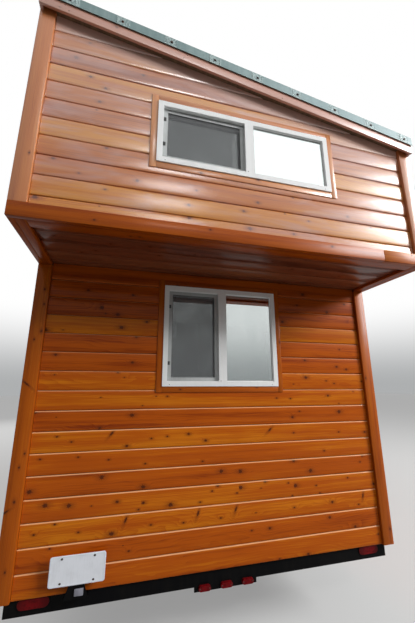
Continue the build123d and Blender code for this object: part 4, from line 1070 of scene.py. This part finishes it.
def addWindow(parts, place, size, hasMesh):
    # Fixed pane on the right, sash with its screen on the left
    shape, gap = frameShape, 0.0005
    low, high = size["sill"] + shape["width"], size["sill"] + size["height"] - shape["width"]
    left, right = (place + side * (size["width"] / 2 - shape["width"]) for side in (-1, 1))
    bar, bead, glass, face = place + shape["mullion"], shape["bead"], shape["glass"], shape["face"]
    addGlazingBead(parts["glazing_beads"], (bar + 0.0003, right - 0.0003), (low + 0.0003, high - 0.0003),
                   glass + 0.0001, face - 0.001, glass + 0.003, bead)
    addFrameStrip(parts["gaskets"], (bar + bead, right - bead), (low + bead, high - bead),
                  (glass + 0.0001, glass + 0.0018), shape["gasket"])
    edge = size["width"] / 2 - shape["weepEdge"]
    holes = [(place + side * edge, size["sill"] + shape["weepRise"], 0.0004, 0.0026) for side in (-1, 1)]
    for x, y, rise, radius in holes + [(place - 0.016, low + 0.004, 0.0006, 0.003)]:
        addRod(parts["weep_holes"], (x, y, face), (x, y, face + rise), radius)
    outer = shape["screen"]
    for share in size["clips"]:
        y = size["sill"] + size["height"] * share
        for x0, x1, reach, back, front in shape["clip"]:
            addBlock(parts["screen_clips"], (left + x0, left + x1), (y - reach, y + reach),
                     (outer + back, outer + front), 0.001)
    end, inset = place - shape["mullion"], shape["screenRim"]
    if hasMesh:
        addFrameStrip(parts["screen_rims"], (left, end), (low, high), (outer - shape["screenThick"], outer),
                      shape["rail"])
        addBlock(parts["screen_mesh"], (left + inset, end - inset), (low + inset, high - inset),
                 (outer - 0.004, outer - 0.003))
    else:
        addFrameStrip(parts["screen_rims"], (left + gap, end - gap), (low, high - gap),
                      (outer, outer + 0.0016), shape["rail"], 0.0004)
    for back in shape["tracks"]:
        for ys in ((high - 0.005, high - 0.0002), (low + 0.0002, low + 0.003)):
            addBlock(parts["sash_tracks"], (left + gap, end - gap), ys,
                     (face - back - shape["track"], face - back), 0.0005)


def buildWindowParts():
    for wall in windows:
        parts = {name: bmesh.new() for name in windowParts}
        for place, size in windows[wall]:
            addWindow(parts, place, size, wall not in ("rear", "loft"))
        for name, (lookName, slot) in windowParts.items():
            if parts[name].verts:
                detailPiece(wall + "_" + name, parts[name], lookName, wallFrame(wall))


def buildFlashingParts():
    screws, nails, creases = (bmesh.new() for _ in range(3))
    rise = flashing["rise"]
    for back, way in rakeBacks():
        y = back + way * flashing["face"]
        for x in flashing["screws"]:
            addBolt(screws, (x, y, rise), (0, way, 0), flashing["screwSize"])
            for step in flashing["creases"]:
                addBlock(creases, (x + step - 0.003, x + step + 0.003), (y - way * 0.0004, y + way * 0.0012),
                         (rise - 0.026, rise + 0.030), 0.0006)
        for x, height in flashing["nails"]:
            addDome(nails, (x, back + way * house["edgeBoard"], height), (0, way, 0), 0.0036, 0.0008)
    detailPiece("flashing_screws", screws, "spring", roofFrame())
    detailPiece("flashing_creases", creases, "flashing", roofFrame())
    detailPiece("rake_nails", nails, "spring", roofFrame())


# The first and last ribs lie under the flashings, so they have no screws
roofScrews = {"pitch": 0.22567, "first": -3.92075, "ribs": 31, "from": -3.9, "to": 2.72, "size": 0.006,
              "rows": (-1.22, -0.78, -0.33, 0.12, 0.57, 1.02, 1.28)}


def buildRoofScrews():
    bm = bmesh.new()
    top = house["deckTop"] + 0.0013
    for number in range(roofScrews["ribs"]):
        y = roofScrews["first"] + number * roofScrews["pitch"]
        if roofScrews["from"] < y < roofScrews["to"]:
            for x in roofScrews["rows"]:
                addBolt(bm, (x, y, top), (0, 0, 1), roofScrews["size"])
    detailPiece("roof_screws", bm, "roof", roofFrame())


plate = {"x": -0.903, "low": 0.558, "width": 0.305, "height": 0.152, "face": 0.040, "corner": 0.013,
         "inset": 0.004, "bead": 0.0035, "rise": 0.0012, "boltX": 0.063, "boltY": 0.016, "bolt": 0.0048}


def buildPlateParts():
    # The bare plate's raised rim, its four bolts beside their slots, and the small lamp below it
    rim, bolts, lamp = (bmesh.new() for _ in range(3))
    face, corner = plate["face"], plate["corner"]
    x0, x1 = plate["x"] - plate["width"] / 2, plate["x"] + plate["width"] / 2
    y0, y1 = plate["low"], plate["low"] + plate["height"]
    spots = ((x1 - corner, y1 - corner, 0), (x0 + corner, y1 - corner, 90), (x0 + corner, y0 + corner, 180),
             (x1 - corner, y0 + corner, 270))
    addRing(rim, roundCorners(spots, corner - plate["inset"], 5), face, plate["bead"], plate["rise"])
    for x in (x0 + plate["boltX"], x1 - plate["boltX"]):
        for y in (y0 + plate["boltY"], y1 - plate["boltY"]):
            addRod(bolts, (x - 0.004, y, face), (x - 0.004, y, face + 0.0006), 0.0036)
            addBolt(bolts, (x, y, face), (0, 0, 1), plate["bolt"])
    addBlock(lamp, (plate["x"] - 0.009, plate["x"] + 0.040), (0.504, 0.540), (face - 0.001, face + 0.006),
             0.003)
    detailPiece("plate_rim", rim, "plate", wallFrame("rear"), 30)
    detailPiece("plate_bolts", bolts, "spring", wallFrame("rear"))
    detailPiece("plate_lamp", lamp, "clearLens", wallFrame("rear"))


lamps = {"tailX": 1.130, "tailY": 0.472, "ringLength": 0.173, "ringHeight": 0.062, "ringWidth": 0.005,
         "ringRise": 0.004, "face": -0.022, "markerX": 0.013, "markerY": 0.409, "markerSpacing": 0.147,
         "screwX": 0.032, "markerRise": 0.020}


def buildLampParts():
    matrix, radius = wallFrame("rear"), lamps["ringHeight"] / 2
    half = lamps["ringLength"] / 2 - radius
    for side, name in ((-1, "left"), (1, "right")):
        ring, x = bmesh.new(), side * lamps["tailX"]
        line = roundCorners(((x + half, lamps["tailY"], -90), (x - half, lamps["tailY"], 90)), radius, 9)
        addRing(ring, line, lamps["face"], lamps["ringWidth"], lamps["ringRise"])
        detailPiece("tail_grommet_" + name, ring, "steel", matrix, 30)
    screws = bmesh.new()
    y, z = lamps["markerY"], lamps["face"] + lamps["markerRise"]
    for number in (-1, 0, 1):
        for way in (-1, 1):
            x = lamps["markerX"] + number * lamps["markerSpacing"] + way * lamps["screwX"]
            addDome(screws, (x, y, z), (0, 0, 1), 0.0036, 0.0012)
    detailPiece("marker_screws", screws, "spring", matrix)


wheels = {"track": 1.155, "axles": (-0.99875, -0.13475), "height": 0.350, "nutCircle": 0.0698, "nuts": 6,
          "nutTurn": 12, "valveCircle": 0.148, "valveTurn": -58, "springX": 0.915, "boltX": 0.027,
          "boltY": 0.045, "boltLow": 0.214, "boltHigh": 0.339, "boltRadius": 0.006}
capLine = ((0, 0), (0, 0.0405), (0.004, 0.042), (0.008, 0.036), (0.022, 0.033), (0.028, 0.026), (0.0305, 0))


def addWheelParts(parts, side, y):
    # Nuts, cap and valve on one wheel, each made of lengths along the axle
    out = Vector((side, 0, 0))

    def spotOn(reach, radius, turn):
        angle = math.radians(turn)
        return Vector((side * (wheels["track"] + reach), y + radius * math.cos(angle),
                       wheels["height"] + radius * math.sin(angle)))

    for number in range(wheels["nuts"]):
        spot = spotOn(0.033, wheels["nutCircle"], 360 / wheels["nuts"] * number + wheels["nutTurn"])
        addRod(parts["lug_nuts"], spot - out * 0.010, spot + out * 0.012, 0.0125, 6)
        addRod(parts["lug_nuts"], spot + out * 0.012, spot + out * 0.018, 0.0095, 12, 0.006)
    addTurned(parts["hub_caps"], capLine, Matrix.Translation(spotOn(0.0352, 0, 0)) @ facing(out), 24)
    stem = spotOn(0.032, wheels["valveCircle"], wheels["valveTurn"])
    addRod(parts["valve_stems"], stem - out * 0.012, stem + out * 0.016, 0.0045, 10)
    addRod(parts["valve_stems"], stem + out * 0.016, stem + out * 0.023, 0.0040, 10, 0.0034)


def addSpringBolts(bm, x, y):
    # Two U-bolts over a leaf spring, with their nuts, and the plate under the axle's pad
    radius, low, high = wheels["boltRadius"], wheels["boltLow"], wheels["boltHigh"]
    for way in (-wheels["boltY"], wheels["boltY"]):
        for step in (-wheels["boltX"], wheels["boltX"]):
            foot = Vector((x + step, y + way, low))
            addRod(bm, foot, (*foot.xy, high), radius, 10)
            addRod(bm, foot, (*foot.xy, low + 0.011), 0.0105, 6)
        addRod(bm, (x - 0.033, y + way, high), (x + 0.033, y + way, high), radius, 10)
    addBlock(bm, (x - 0.034, x + 0.034), (y - 0.056, y + 0.056), (low + 0.010, low + 0.018), 0.0015)


def buildWheelParts():
    parts = {name: bmesh.new() for name in ("lug_nuts", "hub_caps", "valve_stems", "spring_u_bolts")}
    for y in wheels["axles"]:
        for side in (-1, 1):
            addWheelParts(parts, side, y)
            addSpringBolts(parts["spring_u_bolts"], side * wheels["springX"], y)
    for name, bm in parts.items():
        lookName, slot = ("blackPlastic", "tyre_rubber") if name == "valve_stems" else ("zinc", "jack_zinc")
        detailPiece(name, bm, lookName)


def buildDoorParts():
    # Planks in the leaf's recess, hinges and a threshold
    matrix, gap = wallFrame("right"), 0.0004
    half = door["leafWidth"] / 2 - door["stile"]
    low, high = door["low"] + door["stile"], door["leafHigh"] - door["stile"]
    stack = startStack("door_planks", matrix, 51)
    step = 2 * half / door["planks"]
    for number in range(door["planks"]):
        x0 = door["place"] - half + number * step
        addBoard(stack, (x0 + gap, x0 + step - gap), (low + gap, high - gap), (-0.0148, -0.0085), 1, 0,
                 stack["draw"].uniform(0.3, 0.6), edge=0.002)
    finishStack(stack, "doorWood")
    hinges, sill = bmesh.new(), bmesh.new()
    x, z, radius, half = door["place"] - door["leafWidth"] / 2 - 0.0015, 0.0015, 0.0065, 0.045
    for y in door["hinges"]:
        addRod(hinges, (x, y - half, z), (x, y + half, z), radius, 14)
        for end in (-half, half):
            addRod(hinges, (x, y + end, z), (x, y + end * 1.09, z), radius, 14, 0.003)
    addBlock(sill, (door["place"] - door["thresholdHalf"], door["place"] + door["thresholdHalf"]),
             (door["low"] - 0.020, door["low"] - 0.0005), (-0.0115, 0.0195), 0.003)
    detailPiece("door_hinges", hinges, "brass", matrix)
    detailPiece("door_threshold", sill, "zinc", matrix)


tell("small parts")
buildWindowParts()
buildFlashingParts()
buildRoofScrews()
buildPlateParts()
buildLampParts()
buildWheelParts()
buildDoorParts()


# Stage: floor, world, lights and camera

stage = {
    "floor": (0.20, 0.20, 0.19),
    "seenFloor": (0.40, 0.40, 0.395),      # to the camera, in reflections and through glass
    "floorGlow": (0.29, 0.29, 0.29),
    "horizon": (0.42, 0.43, 0.435),
    "sky": (1.0, 1.0, 1.0),
    "light": 0.24,                         # strength of the world on the object
}


def seenRays(tree):
    path = addNode(tree, "ShaderNodeLightPath")
    mirrored = calc("MAXIMUM", path["Is Glossy Ray"], path["Is Transmission Ray"])
    return calc("MAXIMUM", path["Is Camera Ray"], mirrored)


def buildStage():
    material, shader, place = newMaterial("stageFloor")
    seen = seenRays(place.tree)
    feed(shader, {"Base Color": mixColour(seen, stage["floor"], stage["seenFloor"]),
                  "Emission Color": mixColour(seen, (0, 0, 0), stage["floorGlow"]),
                  "Emission Strength": 1.0, "Roughness": 0.9, "Specular IOR Level": 0.1})
    bm = bmesh.new()
    bmesh.ops.create_grid(bm, x_segments=1, y_segments=1, size=60)
    floor = addObject("stageFloor", meshFrom(bm, "stageFloor"))
    floor.data.materials.append(material)

    world = bpy.data.worlds.new("studio")
    bpy.context.scene.world = world
    world.use_nodes = True
    height = axesOf(addNode(world.node_tree, "ShaderNodeTexCoord")["Generated"])[2]
    feed(world.node_tree.nodes["Background"].inputs, {
        "Color": mixColour(fade(height, 0.0, 0.24), stage["horizon"], stage["sky"]),
        "Strength": seenRays(world.node_tree) * (1 - stage["light"]) + stage["light"]})


# Soft lamps: place, aim, width, height and power
softLamps = {
    "skyRight": ((7.4, -12.0, 10.9), (7.4, -3.9, 10.9), 9.0, 7.2, 135),
    "lowRight": ((10.5, -9.0, 7.5), (0.2, -3.9, 2.4), 5.0, 4.0, 1800),
    "glow": ((0.45, -12.1, 8.2), (-0.6, -3.9, 2.7), 1.8, 1.1, 130),
    "fillFront": ((-6.0, 10.0, 8.0), (0, 0, 2), 8.0, 6.0, 650),
}


def placeLamps():
    for name, (spot, aim, width, height, power) in softLamps.items():
        light = bpy.data.lights.new(name, "AREA")
        light.shape = "RECTANGLE"
        light.size, light.size_y, light.energy = width, height, power
        lamp = addObject(name, light)
        lamp.location = spot
        lamp.rotation_euler = (Vector(aim) - Vector(spot)).to_track_quat("-Z", "Y").to_euler()
        lamp.visible_camera = False


cameraPlace = {
    "spot": (-0.706, -5.545, 1.657),
    "turn": 14.83,             # degrees to the right of straight ahead
    "pitch": 13.81,            # degrees up
    "roll": 0.07,
    "lens": 17.64,
}


def placeCamera():
    data = bpy.data.cameras.new("camera")
    data.sensor_width = 36
    data.lens = cameraPlace["lens"]
    data.clip_end = 200
    camera = addObject("camera", data)
    place = Matrix.Translation(cameraPlace["spot"])
    for angle, axis in ((-cameraPlace["turn"], "Z"), (cameraPlace["pitch"], "X"), (cameraPlace["roll"], "Y"),
                        (90, "X")):
        place = place @ Matrix.Rotation(math.radians(angle), 4, axis)
    camera.matrix_world = place
    bpy.context.scene.camera = camera


tell("stage")
buildStage()
placeLamps()
placeCamera()
bpy.context.scene.view_settings.view_transform = "Standard"
